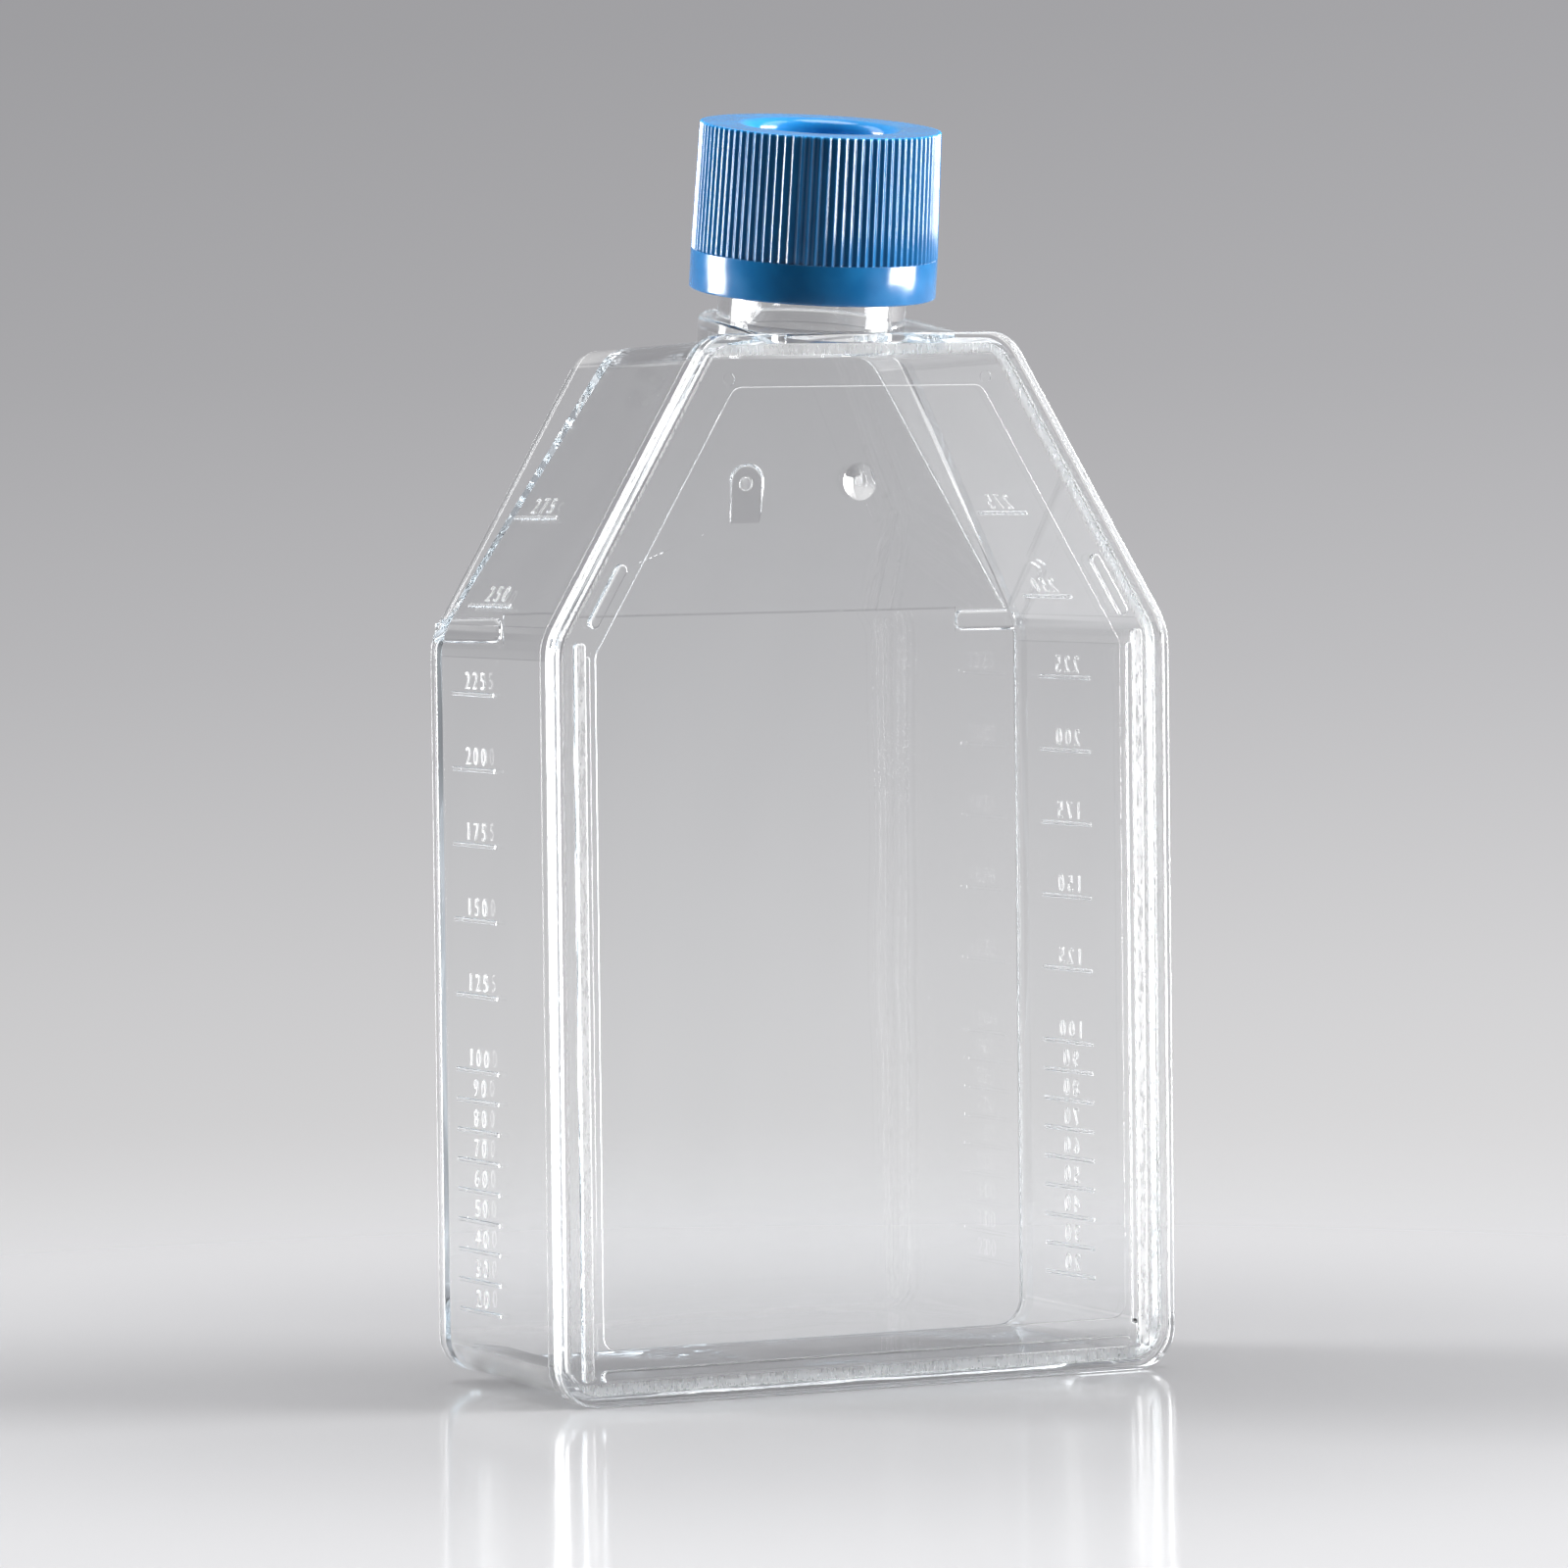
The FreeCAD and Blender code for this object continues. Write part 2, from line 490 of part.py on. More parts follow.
nub_sketch.addGeometry(Part.Circle(V(0, D["arch_gate_height"], 0), V(0, 0, 1), D["arch_gate_radius"]), False)
nub_sketch.addConstraint(Sketcher.Constraint("PointOnObject", 0, 3, -2))
bind(nub_sketch, "Radius", (0,), "nub_radius", "dims.arch_gate_radius")
bind(nub_sketch, "DistanceY", (-1, 1, 0, 3), "nub_height", "dims.arch_gate_height")
nub = arch.newObject("PartDesign::Pad", "nub_pad")
nub.Profile = nub_sketch
nub.Reversed = True
nub.setExpression("Length", "0.2 + dims.arch_gate_proud")
doc.recompute()
nub_round = round_loop(arch, nub, "nub_round", arch_face + D["arch_gate_proud"], 0.25)

# ---------------------------------------------------------------- flask body: graduations
# raised bars on both narrow walls: every 10 mL up to 100 mL, then every 25 mL to 225 mL
wall_face = D["body_width"] / 2 - D["rim_overhang"]
wall_y = rim_back - 1.0
marks = [20, 30, 40, 50, 60, 70, 80, 90, 100, 125, 150, 175, 200, 225]


def graduation_body(name, side):
    """Bars on one side wall, square to its drafted face."""
    body = new_body(name)
    body.AllowCompound = True
    sketch = new_sketch(body, name + "_profile", "YZ_Plane")
    y_low = D["grad_back"] - D["grad_length"] - wall_y
    y_high = D["grad_back"] - wall_y
    for volume in marks:
        z = D["grad_twenty"] + (volume - 20) / 25.0 * D["grad_step"]
        w = D["grad_width"] / 2
        g = add_polygon(sketch, [(y_low, z - w), (y_high, z - w), (y_high, z + w), (y_low, z + w)])
        sketch.addConstraint(Sketcher.Constraint("Horizontal", g))
        sketch.addConstraint(Sketcher.Constraint("Vertical", g + 1))
        sketch.addConstraint(Sketcher.Constraint("Horizontal", g + 2))
        sketch.addConstraint(Sketcher.Constraint("Vertical", g + 3))
        height = "dims.grad_twenty + %d / 25 * dims.grad_step" % (volume - 20)
        bind(sketch, "DistanceX", (-1, 1, g, 1), "near_%d" % volume, "dims.grad_back - dims.grad_length - (dims.front_face + dims.rim_depth - 1)")
        bind(sketch, "DistanceX", (-1, 1, g + 1, 1), "far_%d" % volume, "dims.grad_back - (dims.front_face + dims.rim_depth - 1)")
        bind(sketch, "DistanceY", (-1, 1, g, 1), "low_%d" % volume, height + " - dims.grad_width / 2")
        bind(sketch, "DistanceY", (-1, 1, g + 2, 1), "high_%d" % volume, height + " + dims.grad_width / 2")
    pad = body.newObject("PartDesign::Pad", name + "_pad")
    pad.Profile = sketch
    pad.Midplane = True
    pad.setExpression("Length", "2 * dims.grad_proud")
    doc.recompute()
    edges = []
    for i, edge in enumerate(pad.Shape.Edges):
        box = edge.BoundBox
        if abs(box.XMin - side * D["grad_proud"]) < 0.01 and abs(box.XMax - side * D["grad_proud"]) < 0.01:
            edges.append("Edge%d" % (i + 1))
    soft = body.newObject("PartDesign::Fillet", name + "_round")
    soft.Base = (pad, edges)
    soft.setExpression("Radius", "dims.grad_round")
    doc.recompute()
    angle = side * D["side_draft"]
    body.Placement = FreeCAD.Placement(V(side * wall_face, wall_y, 0), FreeCAD.Rotation(V(0, 0, 1), angle))
    body.setExpression("Placement.Base.x", "%d * (dims.body_width / 2 - dims.rim_overhang)" % side)
    body.setExpression("Placement.Base.y", "dims.front_face + dims.rim_depth - 1")
    doc.recompute()
    return body


grads = [graduation_body("graduations_right", 1), graduation_body("graduations_left", -1)]


def shoulder_bar(name, side, height):
    """One bar across the sloping shoulder."""
    bar = doc.addObject("Part::Box", name + "_block")
    bar.setExpression("Length", "dims.grad_width")
    bar.setExpression("Width", "dims.grad_length")
    bar.setExpression("Height", "2 * dims.grad_proud")
    slope = D["chamfer_angle"]
    half_w, base, shoulder, top, upper = outline_numbers(D["rim_overhang"])
    mid_y = D["grad_back"] - D["grad_length"] / 2
    sunk = (mid_y - wall_y) * math.tan(math.radians(D["side_draft"]))
    x = half_w - (height - shoulder) / math.tan(math.radians(slope))
    normal = V(math.sin(math.radians(slope)), 0, math.cos(math.radians(slope)))
    centre = V(x, mid_y, height) - normal * sunk
    turn = FreeCAD.Rotation(V(0, 1, 0), slope)
    if side < 0:
        turn = FreeCAD.Rotation(V(0, 1, 0), -slope)
        centre.x = -centre.x
    draft_turn = FreeCAD.Rotation(V(1, 0, 0), -D["side_draft"])
    rotation = turn.multiply(draft_turn)
    corner = rotation.multVec(V(-D["grad_width"] / 2, -D["grad_length"] / 2, -D["grad_proud"]))
    doc.recompute()
    soft = doc.addObject("Part::Fillet", name)
    soft.Base = bar
    edges = []
    for i, edge in enumerate(bar.Shape.Edges):
        if abs(edge.CenterOfMass.z - 2 * D["grad_proud"]) < 1e-4:
            edges.append((i + 1, D["grad_round"], D["grad_round"]))
    soft.Edges = edges
    bar.Placement = FreeCAD.Placement(centre + corner, rotation)
    doc.recompute()
    return soft


for height in (95.75, 106.3):
    for side, tag in ((1, "right"), (-1, "left")):
        grads.append(shoulder_bar("shoulder_bar_%s_%d" % (tag, int(height)), side, height))

flask = combine("MultiFuse", "flask_body", [shell, feet, step, arch] + grads)
flask.Label = "flask_body"

# ---------------------------------------------------------------- front plate
plate, plate_last = outline_prism(
    "plate", "dims.lip_width + dims.plate_clear", D["lip_width"] + D["plate_clear"],
    "dims.front_face + dims.plate_sunk", "dims.plate_thick", drafts=False, corner_loss=1.05)
plate_face = front + D["plate_sunk"]


def plate_pad(name, draw, sunk, rounding=None):
    """A raised area on the outer face of the plate, from its face up to the given depth below the rim."""
    sketch = new_sketch(plate, name + "_profile", "XZ_Plane", z="-(dims.front_face + dims.plate_sunk)")
    draw(sketch)
    pad = plate.newObject("PartDesign::Pad", name)
    pad.Profile = sketch
    pad.setExpression("Length", "dims.plate_sunk - " + sunk)
    doc.recompute()
    return pad


def rounded_bar(sketch, tag, x0, z0, x1, z1, radius, left, low, right, high):
    """Upright or level bar with rounded corners: four lines and four arcs."""
    g = sketch.GeometryCount
    r = radius
    lines = [((x0 + r, z0), (x1 - r, z0)), ((x1, z0 + r), (x1, z1 - r)), ((x1 - r, z1), (x0 + r, z1)), ((x0, z1 - r), (x0, z0 + r))]
    arcs = [((x1 - r, z0 + r), -90, 0), ((x1 - r, z1 - r), 0, 90), ((x0 + r, z1 - r), 90, 180), ((x0 + r, z0 + r), 180, 270)]
    for a, b in lines:
        sketch.addGeometry(Part.LineSegment(V(a[0], a[1], 0), V(b[0], b[1], 0)), False)
    for c, a0, a1 in arcs:
        sketch.addGeometry(Part.ArcOfCircle(Part.Circle(V(c[0], c[1], 0), V(0, 0, 1), r), math.radians(a0), math.radians(a1)), False)
    for i in range(4):
        sketch.addConstraint(Sketcher.Constraint("Tangent", g + i, 2, g + 4 + i, 1))
        sketch.addConstraint(Sketcher.Constraint("Tangent", g + 4 + i, 2, g + (i + 1) % 4, 1))
    sketch.addConstraint(Sketcher.Constraint("Horizontal", g))
    sketch.addConstraint(Sketcher.Constraint("Vertical", g + 1))
    for i in (5, 6, 7):
        sketch.addConstraint(Sketcher.Constraint("Equal", g + 4, g + i))
    bind(sketch, "Radius", (g + 4,), "corner_" + tag, "%g" % r)
    bind(sketch, "DistanceX", (-1, 1, g + 3, 1), "left_" + tag, left)
    bind(sketch, "DistanceY", (-1, 1, g, 1), "low_" + tag, low)
    bind(sketch, "DistanceX", (-1, 1, g + 1, 1), "right_" + tag, right)
    bind(sketch, "DistanceY", (-1, 1, g + 2, 1), "high_" + tag, high)


# flat panel, standing a little proud, inside the ribs
panel_sketch = outline_sketch(plate, "panel_outline", "dims.panel_inset", D["panel_inset"], "dims.front_face + dims.plate_sunk")
panel = plate.newObject("PartDesign::Pad", "panel")
panel.Profile = panel_sketch
panel.setExpression("Length", "dims.panel_proud")
doc.recompute()
panel_round = plate.newObject("PartDesign::Fillet", "panel_round")
corner_names = []
for i, edge in enumerate(panel.Shape.Edges):
    box = edge.BoundBox
    if box.XLength < 1e-3 and box.ZLength < 1e-3 and box.YLength < D["panel_proud"] + 0.01 and box.YMin < plate_face - 0.01:
        corner_names.append("Edge%d" % (i + 1))
panel_round.Base = (panel, corner_names)
panel_round.Radius = 2.0
doc.recompute()
panel_soft = plate.newObject("PartDesign::Fillet", "panel_soft")
panel_soft.Base = (panel_round, loop_edges(panel_round.Shape, plate_face - D["panel_proud"]))
panel_soft.setExpression("Radius", "dims.panel_edge")
doc.recompute()

# three stiffening ribs: one up each side, one along the base
rib_x = D["body_width"] / 2 - D["rib_inset"]


def draw_ribs(sketch):
    w = D["rib_width"]
    for side, tag in ((1, "right"), (-1, "left")):
        if side > 0:
            x0, x1 = rib_x - w, rib_x
            left, right = "dims.body_width / 2 - dims.rib_inset - dims.rib_width", "dims.body_width / 2 - dims.rib_inset"
        else:
            x0, x1 = -rib_x, -rib_x + w
            left, right = "-(dims.body_width / 2 - dims.rib_inset)", "-(dims.body_width / 2 - dims.rib_inset - dims.rib_width)"
        rounded_bar(sketch, tag, x0, D["side_rib_low"], x1, D["side_rib_top"], 0.5, left, "dims.side_rib_low", right, "dims.side_rib_top")
    rounded_bar(sketch, "base", -D["base_rib_half"], D["base_rib_low"], D["base_rib_half"], D["base_rib_low"] + w, 0.6,
                "-dims.base_rib_half", "dims.base_rib_low", "dims.base_rib_half", "dims.base_rib_low + dims.rib_width")


plate.AllowCompound = True
ribs = plate_pad("ribs", draw_ribs, "dims.rib_sunk")
ribs_round = plate.newObject("PartDesign::Fillet", "ribs_round")
ribs_round.Base = (ribs, loop_edges(ribs.Shape, front + D["rib_sunk"]))
ribs_round.setExpression("Radius", "dims.rib_round")
doc.recompute()


# narrow lower strip along the inner side of each upright rib
def draw_strips(sketch):
    inner = rib_x - D["rib_width"]
    for side, tag in ((1, "right"), (-1, "left")):
        if side > 0:
            x0, x1 = inner - D["strip_width"], inner + 0.5
            left = "dims.body_width / 2 - dims.rib_inset - dims.rib_width - dims.strip_width"
            right = "dims.body_width / 2 - dims.rib_inset - dims.rib_width + 0.5"
        else:
            x0, x1 = -inner - 0.5, -inner + D["strip_width"]
            left = "-(dims.body_width / 2 - dims.rib_inset - dims.rib_width + 0.5)"
            right = "-(dims.body_width / 2 - dims.rib_inset - dims.rib_width - dims.strip_width)"
        rounded_bar(sketch, tag, x0, D["strip_low"], x1, D["strip_high"], 0.35, left, "dims.strip_low", right, "dims.strip_high")


strips = plate_pad("rib_strips", draw_strips, "dims.strip_sunk")
strip_names = [name for name in loop_edges(strips.Shape, front + D["strip_sunk"])
               if abs(strips.Shape.Edges[int(name[4:]) - 1].CenterOfMass.x) < rib_x - D["rib_width"] - 0.02]
strips_round = plate.newObject("PartDesign::Fillet", "strips_round")
strips_round.Base = (strips, strip_names)
strips_round.setExpression("Radius", "dims.strip_round")
doc.recompute()

# short slanted ribs on the shoulders, one each side, along the chamfered edge
slope = math.radians(D["chamfer_angle"])
for side, tag in ((1, "right"), (-1, "left")):
    sketch = new_sketch(plate, "shoulder_rib_%s_profile" % tag, "XZ_Plane", z="-(dims.front_face + dims.plate_sunk)")
    inset = D["rib_inset"] + D["rib_width"] / 2
    half_w, base, shoulder, top, upper = outline_numbers(inset)
    z0, z1 = 93.9, 100.1
    r = D["rib_width"] / 2
    p = V(side * (half_w - (z0 - shoulder) / math.tan(slope)), z0, 0)
    q = V(side * (half_w - (z1 - shoulder) / math.tan(slope)), z1, 0)
    along = (q - p).normalize()
    across = V(-along.y, along.x, 0)
    sketch.addGeometry(Part.LineSegment(p - across * r, q - across * r), False)
    sketch.addGeometry(Part.LineSegment(q + across * r, p + across * r), False)
    a = math.atan2(along.y, along.x)
    sketch.addGeometry(Part.ArcOfCircle(Part.Circle(q, V(0, 0, 1), r), a - math.pi / 2, a + math.pi / 2), False)
    sketch.addGeometry(Part.ArcOfCircle(Part.Circle(p, V(0, 0, 1), r), a + math.pi / 2, a + 3 * math.pi / 2), False)
    sketch.addConstraint(Sketcher.Constraint("Tangent", 0, 2, 2, 1))
    sketch.addConstraint(Sketcher.Constraint("Tangent", 2, 2, 1, 1))
    sketch.addConstraint(Sketcher.Constraint("Tangent", 1, 2, 3, 1))
    sketch.addConstraint(Sketcher.Constraint("Tangent", 3, 2, 0, 1))
    bind(sketch, "Radius", (2,), "half_width", "dims.rib_width / 2")
    bind(sketch, "DistanceY", (-1, 1, 3, 3), "low_end", "%g" % z0)
    bind(sketch, "DistanceY", (-1, 1, 2, 3), "high_end", "%g" % z1)
    reach = "(dims.rib_inset + dims.rib_width / 2)"
    at = ("%sdims.body_width / 2 - %s - (%g - (dims.shoulder_height - %s * (1 / cos(dims.chamfer_angle * 1 deg)"
          " - tan(dims.chamfer_angle * 1 deg)))) / tan(dims.chamfer_angle * 1 deg)%s")
    for label, arc, z in (("low_side", 3, z0), ("high_side", 2, z1)):
        bind(sketch, "DistanceX", (-1, 1, arc, 3), label, at % ("(" if side > 0 else "-(", reach, z, reach, ")"))
    pad = plate.newObject("PartDesign::Pad", "shoulder_rib_" + tag)
    pad.Profile = sketch
    pad.setExpression("Length", "dims.plate_sunk - dims.rib_sunk")
    doc.recompute()

shoulder_names = [name for name in loop_edges(plate.Shape, front + D["rib_sunk"])
                  if plate.Shape.Edges[int(name[4:]) - 1].CenterOfMass.z > 92.5]
shoulder_round = plate.newObject("PartDesign::Fillet", "shoulder_ribs_round")
shoulder_round.Base = (pad, shoulder_names)
shoulder_round.setExpression("Radius", "dims.rib_round")
doc.recompute()

# injection gate mark: a shallow round dish with the gate's nub left standing in it
dish = "((dims.dimple_radius ^ 2 + dims.dimple_depth ^ 2) / (2 * dims.dimple_depth))"
before = plate.Shape.Volume
dimple = plate.newObject("PartDesign::SubtractiveSphere", "dimple")
dimple.AttachmentSupport = [(plane_of(plate, "XZ_Plane"), "")]
dimple.MapMode = "FlatFace"
dimple.setExpression("AttachmentOffset.Base.y", "dims.dimple_height")
dimple.setExpression("AttachmentOffset.Base.z",
                     "-(dims.front_face + dims.plate_sunk - dims.panel_proud + dims.dimple_depth - " + dish + ")")
dimple.setExpression("Radius", dish)
doc.recompute()
if plate.Shape.Volume > before - 1.0:
    raise RuntimeError("dimple cuts nothing")
panel_face = plate_face - D["panel_proud"]
dimple_names = [name for name in loop_edges(dimple.Shape, panel_face)
                if hasattr(dimple.Shape.Edges[int(name[4:]) - 1].Curve, "Radius")
                and abs(dimple.Shape.Edges[int(name[4:]) - 1].Curve.Radius - D["dimple_radius"]) < 0.01]
dimple_round = plate.newObject("PartDesign::Fillet", "dimple_round")
dimple_round.Base = (dimple, dimple_names)
dimple_round.Radius = 0.5
doc.recompute()
gate_sketch = new_sketch(plate, "gate_profile", "XZ_Plane",
                         z="-(dims.front_face + dims.plate_sunk - dims.panel_proud + dims.dimple_depth + 0.1)")
gate_sketch.addGeometry(Part.Circle(V(0, D["dimple_height"], 0), V(0, 0, 1), D["gate_radius"]), False)
gate_sketch.addConstraint(Sketcher.Constraint("PointOnObject", 0, 3, -2))
bind(gate_sketch, "Radius", (0,), "gate", "dims.gate_radius")
bind(gate_sketch, "DistanceY", (-1, 1, 0, 3), "height", "dims.dimple_height")
gate = plate.newObject("PartDesign::Pad", "gate_nub")
gate.Profile = gate_sketch
gate.setExpression("Length", "0.1 + dims.gate_tall")
doc.recompute()
gate_round = round_loop(plate, gate, "gate_round", panel_face + D["dimple_depth"] - D["gate_tall"], 0.2)

# two ejector marks near the crown
pin_sketch = new_sketch(plate, "pin_profile", "XZ_Plane", z="-(dims.front_face + dims.plate_sunk - dims.panel_proud)")
for side, tag in ((1, "right"), (-1, "left")):
    g = pin_sketch.GeometryCount
    pin_sketch.addGeometry(Part.Circle(V(side * D["pin_x"], D["pin_height"], 0), V(0, 0, 1), D["pin_radius"]), False)
    bind(pin_sketch, "Radius", (g,), "pin_" + tag, "dims.pin_radius")
    bind(pin_sketch, "DistanceX", (-1, 1, g, 3), "across_" + tag, ("" if side > 0 else "-") + "dims.pin_x")
    bind(pin_sketch, "DistanceY", (-1, 1, g, 3), "height_" + tag, "dims.pin_height")
before = plate.Shape.Volume
pins = plate.newObject("PartDesign::Pocket", "ejector_marks")
pins.Profile = pin_sketch
pins.setExpression("Length", "dims.pin_depth + dims.panel_proud")
doc.recompute()
if plate.Shape.Volume > before - 0.1:
    raise RuntimeError("ejector marks cut nothing")
plate.Label = "front_plate"

# ---------------------------------------------------------------- cap
# turned section: band, drafted skirt, roof, well with its plug wall, floor
cap = new_body("cap")
cap_sketch = new_sketch(cap, "cap_section", "XZ_Plane")
R0, R1, HT = D["cap_radius"], D["cap_top_radius"], D["cap_height"]
section = [
    (D["cap_bore"], 0.0), (R0, 0.0), (R0, D["cap_band"]), (R1, HT),
    (D["well_radius"], HT), (D["well_radius"], D["well_floor"]), (0.0, D["well_floor"]), (0.0, D["plug_low"]),
    (D["plug_radius"], D["plug_low"]), (D["plug_radius"], D["cap_roof"]), (D["cap_bore"], D["cap_roof"]),
]
add_polygon(cap_sketch, section)
for line in (0, 3, 5, 7, 9):
    cap_sketch.addConstraint(Sketcher.Constraint("Horizontal", line))
for line in (1, 4, 6, 8, 10):
    cap_sketch.addConstraint(Sketcher.Constraint("Vertical", line))
cap_sketch.addConstraint(Sketcher.Constraint("PointOnObject", 6, 1, -2))
cap_sketch.addConstraint(Sketcher.Constraint("PointOnObject", 0, 1, -1))
bind(cap_sketch, "DistanceX", (-1, 1, 0, 1), "bore", "dims.cap_bore")
bind(cap_sketch, "DistanceX", (-1, 1, 1, 1), "outer", "dims.cap_radius")
bind(cap_sketch, "DistanceY", (-1, 1, 2, 1), "band", "dims.cap_band")
bind(cap_sketch, "DistanceX", (-1, 1, 3, 1), "crown", "dims.cap_top_radius")
bind(cap_sketch, "DistanceY", (-1, 1, 3, 1), "tall", "dims.cap_height")
bind(cap_sketch, "DistanceX", (-1, 1, 4, 1), "well", "dims.well_radius")
bind(cap_sketch, "DistanceY", (-1, 1, 5, 1), "floor", "dims.well_floor")
bind(cap_sketch, "DistanceY", (-1, 1, 8, 1), "plug_low", "dims.plug_low")
bind(cap_sketch, "DistanceX", (-1, 1, 8, 1), "plug", "dims.plug_radius")
bind(cap_sketch, "DistanceY", (-1, 1, 9, 1), "roof", "dims.cap_roof")
cap_turn = cap.newObject("PartDesign::Revolution", "cap_turn")
cap_turn.Profile = cap_sketch
cap_turn.ReferenceAxis = (cap_sketch, ["V_Axis"])
cap_turn.Angle = 360
doc.recompute()

# vent windows through the well's floor, and the shallow seat of the filter disc under it
window_sketch = new_sketch(cap, "window_profile", "XY_Plane", z="dims.well_floor + 0.5")
wi, wo = D["window_inner"], D["window_outer"]
ha = math.radians(D["window_angle"] / 2)
window_sketch.addGeometry(Part.ArcOfCircle(Part.Circle(V(0, 0, 0), V(0, 0, 1), wi), -ha, ha), False)
window_sketch.addGeometry(Part.ArcOfCircle(Part.Circle(V(0, 0, 0), V(0, 0, 1), wo), -ha, ha), False)
window_sketch.addGeometry(Part.LineSegment(V(wi * math.cos(ha), -wi * math.sin(ha), 0), V(wo * math.cos(ha), -wo * math.sin(ha), 0)), False)
window_sketch.addGeometry(Part.LineSegment(V(wi * math.cos(ha), wi * math.sin(ha), 0), V(wo * math.cos(ha), wo * math.sin(ha), 0)), False)
for a in ((0, 1, 2, 1), (1, 1, 2, 2), (0, 2, 3, 1), (1, 2, 3, 2)):
    window_sketch.addConstraint(Sketcher.Constraint("Coincident", *a))
window_sketch.addConstraint(Sketcher.Constraint("Coincident", 0, 3, -1, 1))
window_sketch.addConstraint(Sketcher.Constraint("Coincident", 1, 3, -1, 1))
window_sketch.addConstraint(Sketcher.Constraint("PointOnObject", -1, 1, 2))
window_sketch.addConstraint(Sketcher.Constraint("PointOnObject", -1, 1, 3))
bind(window_sketch, "Radius", (0,), "inner", "dims.window_inner")
bind(window_sketch, "Radius", (1,), "outer", "dims.window_outer")
bind(window_sketch, "DistanceX", (-1, 1, 2, 2), "spread_low", "dims.window_outer * cos(dims.window_angle / 2 * 1 deg)")
bind(window_sketch, "DistanceX", (-1, 1, 3, 2), "spread_high", "dims.window_outer * cos(dims.window_angle / 2 * 1 deg)")
before = cap.Shape.Volume
window = cap.newObject("PartDesign::Pocket", "vent_window")
window.Profile = window_sketch
window.Length = 3.0
cap.Tip = window
doc.recompute()
if window.Shape.Volume > before - 1.0:
    raise RuntimeError("vent window cuts nothing")
vents = cap.newObject("PartDesign::PolarPattern", "vent_windows")
vents.Originals = [window]
vents.Axis = (cap_sketch, ["V_Axis"])
vents.Angle = 360
vents.setExpression("Occurrences", "dims.window_count")
cap.Tip = vents
doc.recompute()
seat_sketch = new_sketch(cap, "seat_profile", "XY_Plane", z="dims.plug_low - 0.5")
seat_sketch.addGeometry(Part.Circle(V(0, 0, 0), V(0, 0, 1), D["seat_radius"]), False)
seat_sketch.addConstraint(Sketcher.Constraint("Coincident", 0, 3, -1, 1))
bind(seat_sketch, "Radius", (0,), "seat", "dims.seat_radius")
before = cap.Shape.Volume
disc_seat = cap.newObject("PartDesign::Pocket", "disc_seat")
disc_seat.Profile = seat_sketch
disc_seat.Reversed = True
disc_seat.setExpression("Length", "dims.seat_depth + 0.5")
cap.Tip = disc_seat
doc.recompute()
if disc_seat.Shape.Volume > before - 1.0:
    raise RuntimeError("disc seat cuts nothing")
# rounded lip of the well, softened crown and mouth
def cap_circles(shape, radius, height, tol=0.02):
    names = []
    for i, edge in enumerate(shape.Edges):
        curve = edge.Curve
        if hasattr(curve, "Radius") and abs(curve.Radius - radius) < tol and abs(edge.BoundBox.ZMax - height) < tol and abs(edge.BoundBox.ZMin - height) < tol:
            names.append("Edge%d" % (i + 1))
    return names


lip = cap.newObject("PartDesign::Fillet", "well_lip")
lip.Base = (disc_seat, cap_circles(disc_seat.Shape, D["well_radius"], HT))
lip.setExpression("Radius", "dims.well_lip")
cap.Tip = lip
doc.recompute()
mouth = cap.newObject("PartDesign::Fillet", "mouth_round")
mouth.Base = (lip, cap_circles(lip.Shape, D["cap_radius"], 0.0) + cap_circles(lip.Shape, D["cap_bore"], 0.0)
              + cap_circles(lip.Shape, D["plug_radius"], D["plug_low"]))
mouth.Radius = 0.3
cap.Tip = mouth
doc.recompute()

# grip: one groove with a round root, leaning with the drafted skirt, repeated round the cap
lean = math.atan2(R0 - R1, HT - D["cap_band"])
groove_sketch = new_sketch(cap, "groove_section", "XZ_Plane")
reach = D["groove_out"]
foot_x = R0 + reach
z_foot = D["cap_band"]
top_x = R1 + reach - 2.0 * math.tan(lean)
z_top = HT + 2.0
axis_dir = V(top_x - foot_x, z_top - z_foot, 0).normalize()
inward = V(-axis_dir.y, axis_dir.x, 0)
gr = D["groove_radius"]
c0, c1 = V(foot_x, z_foot, 0), V(top_x, z_top, 0)
groove_sketch.addGeometry(Part.LineSegment(c0, c1), False)
groove_sketch.addGeometry(Part.LineSegment(c1, c1 + inward * gr), False)
groove_sketch.addGeometry(Part.LineSegment(c1 + inward * gr, c0 + inward * gr), False)
groove_sketch.addGeometry(Part.LineSegment(c0 + inward * gr, c0), False)
for i in range(4):
    groove_sketch.addConstraint(Sketcher.Constraint("Coincident", i, 2, (i + 1) % 4, 1))
groove_sketch.addConstraint(Sketcher.Constraint("Perpendicular", 0, 1))
groove_sketch.addConstraint(Sketcher.Constraint("Perpendicular", 0, 3))
bind(groove_sketch, "DistanceX", (-1, 1, 0, 1), "foot", "dims.cap_radius + dims.groove_out")
bind(groove_sketch, "DistanceY", (-1, 1, 0, 1), "foot_level", "dims.cap_band")
bind(groove_sketch, "DistanceX", (-1, 1, 0, 2), "head",
     "dims.cap_top_radius + dims.groove_out - 2 * (dims.cap_radius - dims.cap_top_radius) / (dims.cap_height - dims.cap_band)")
bind(groove_sketch, "DistanceY", (-1, 1, 0, 2), "head_level", "dims.cap_height + 2")
index = groove_sketch.addConstraint(Sketcher.Constraint("Distance", 3, gr))
groove_sketch.renameConstraint(index, "root")
groove_sketch.setExpression("Constraints.root", "dims.groove_radius")
groove = cap.newObject("PartDesign::Groove", "grip_groove")
groove.Profile = groove_sketch
groove.ReferenceAxis = (groove_sketch, ["Edge1"])
groove.Angle = 360
doc.recompute()
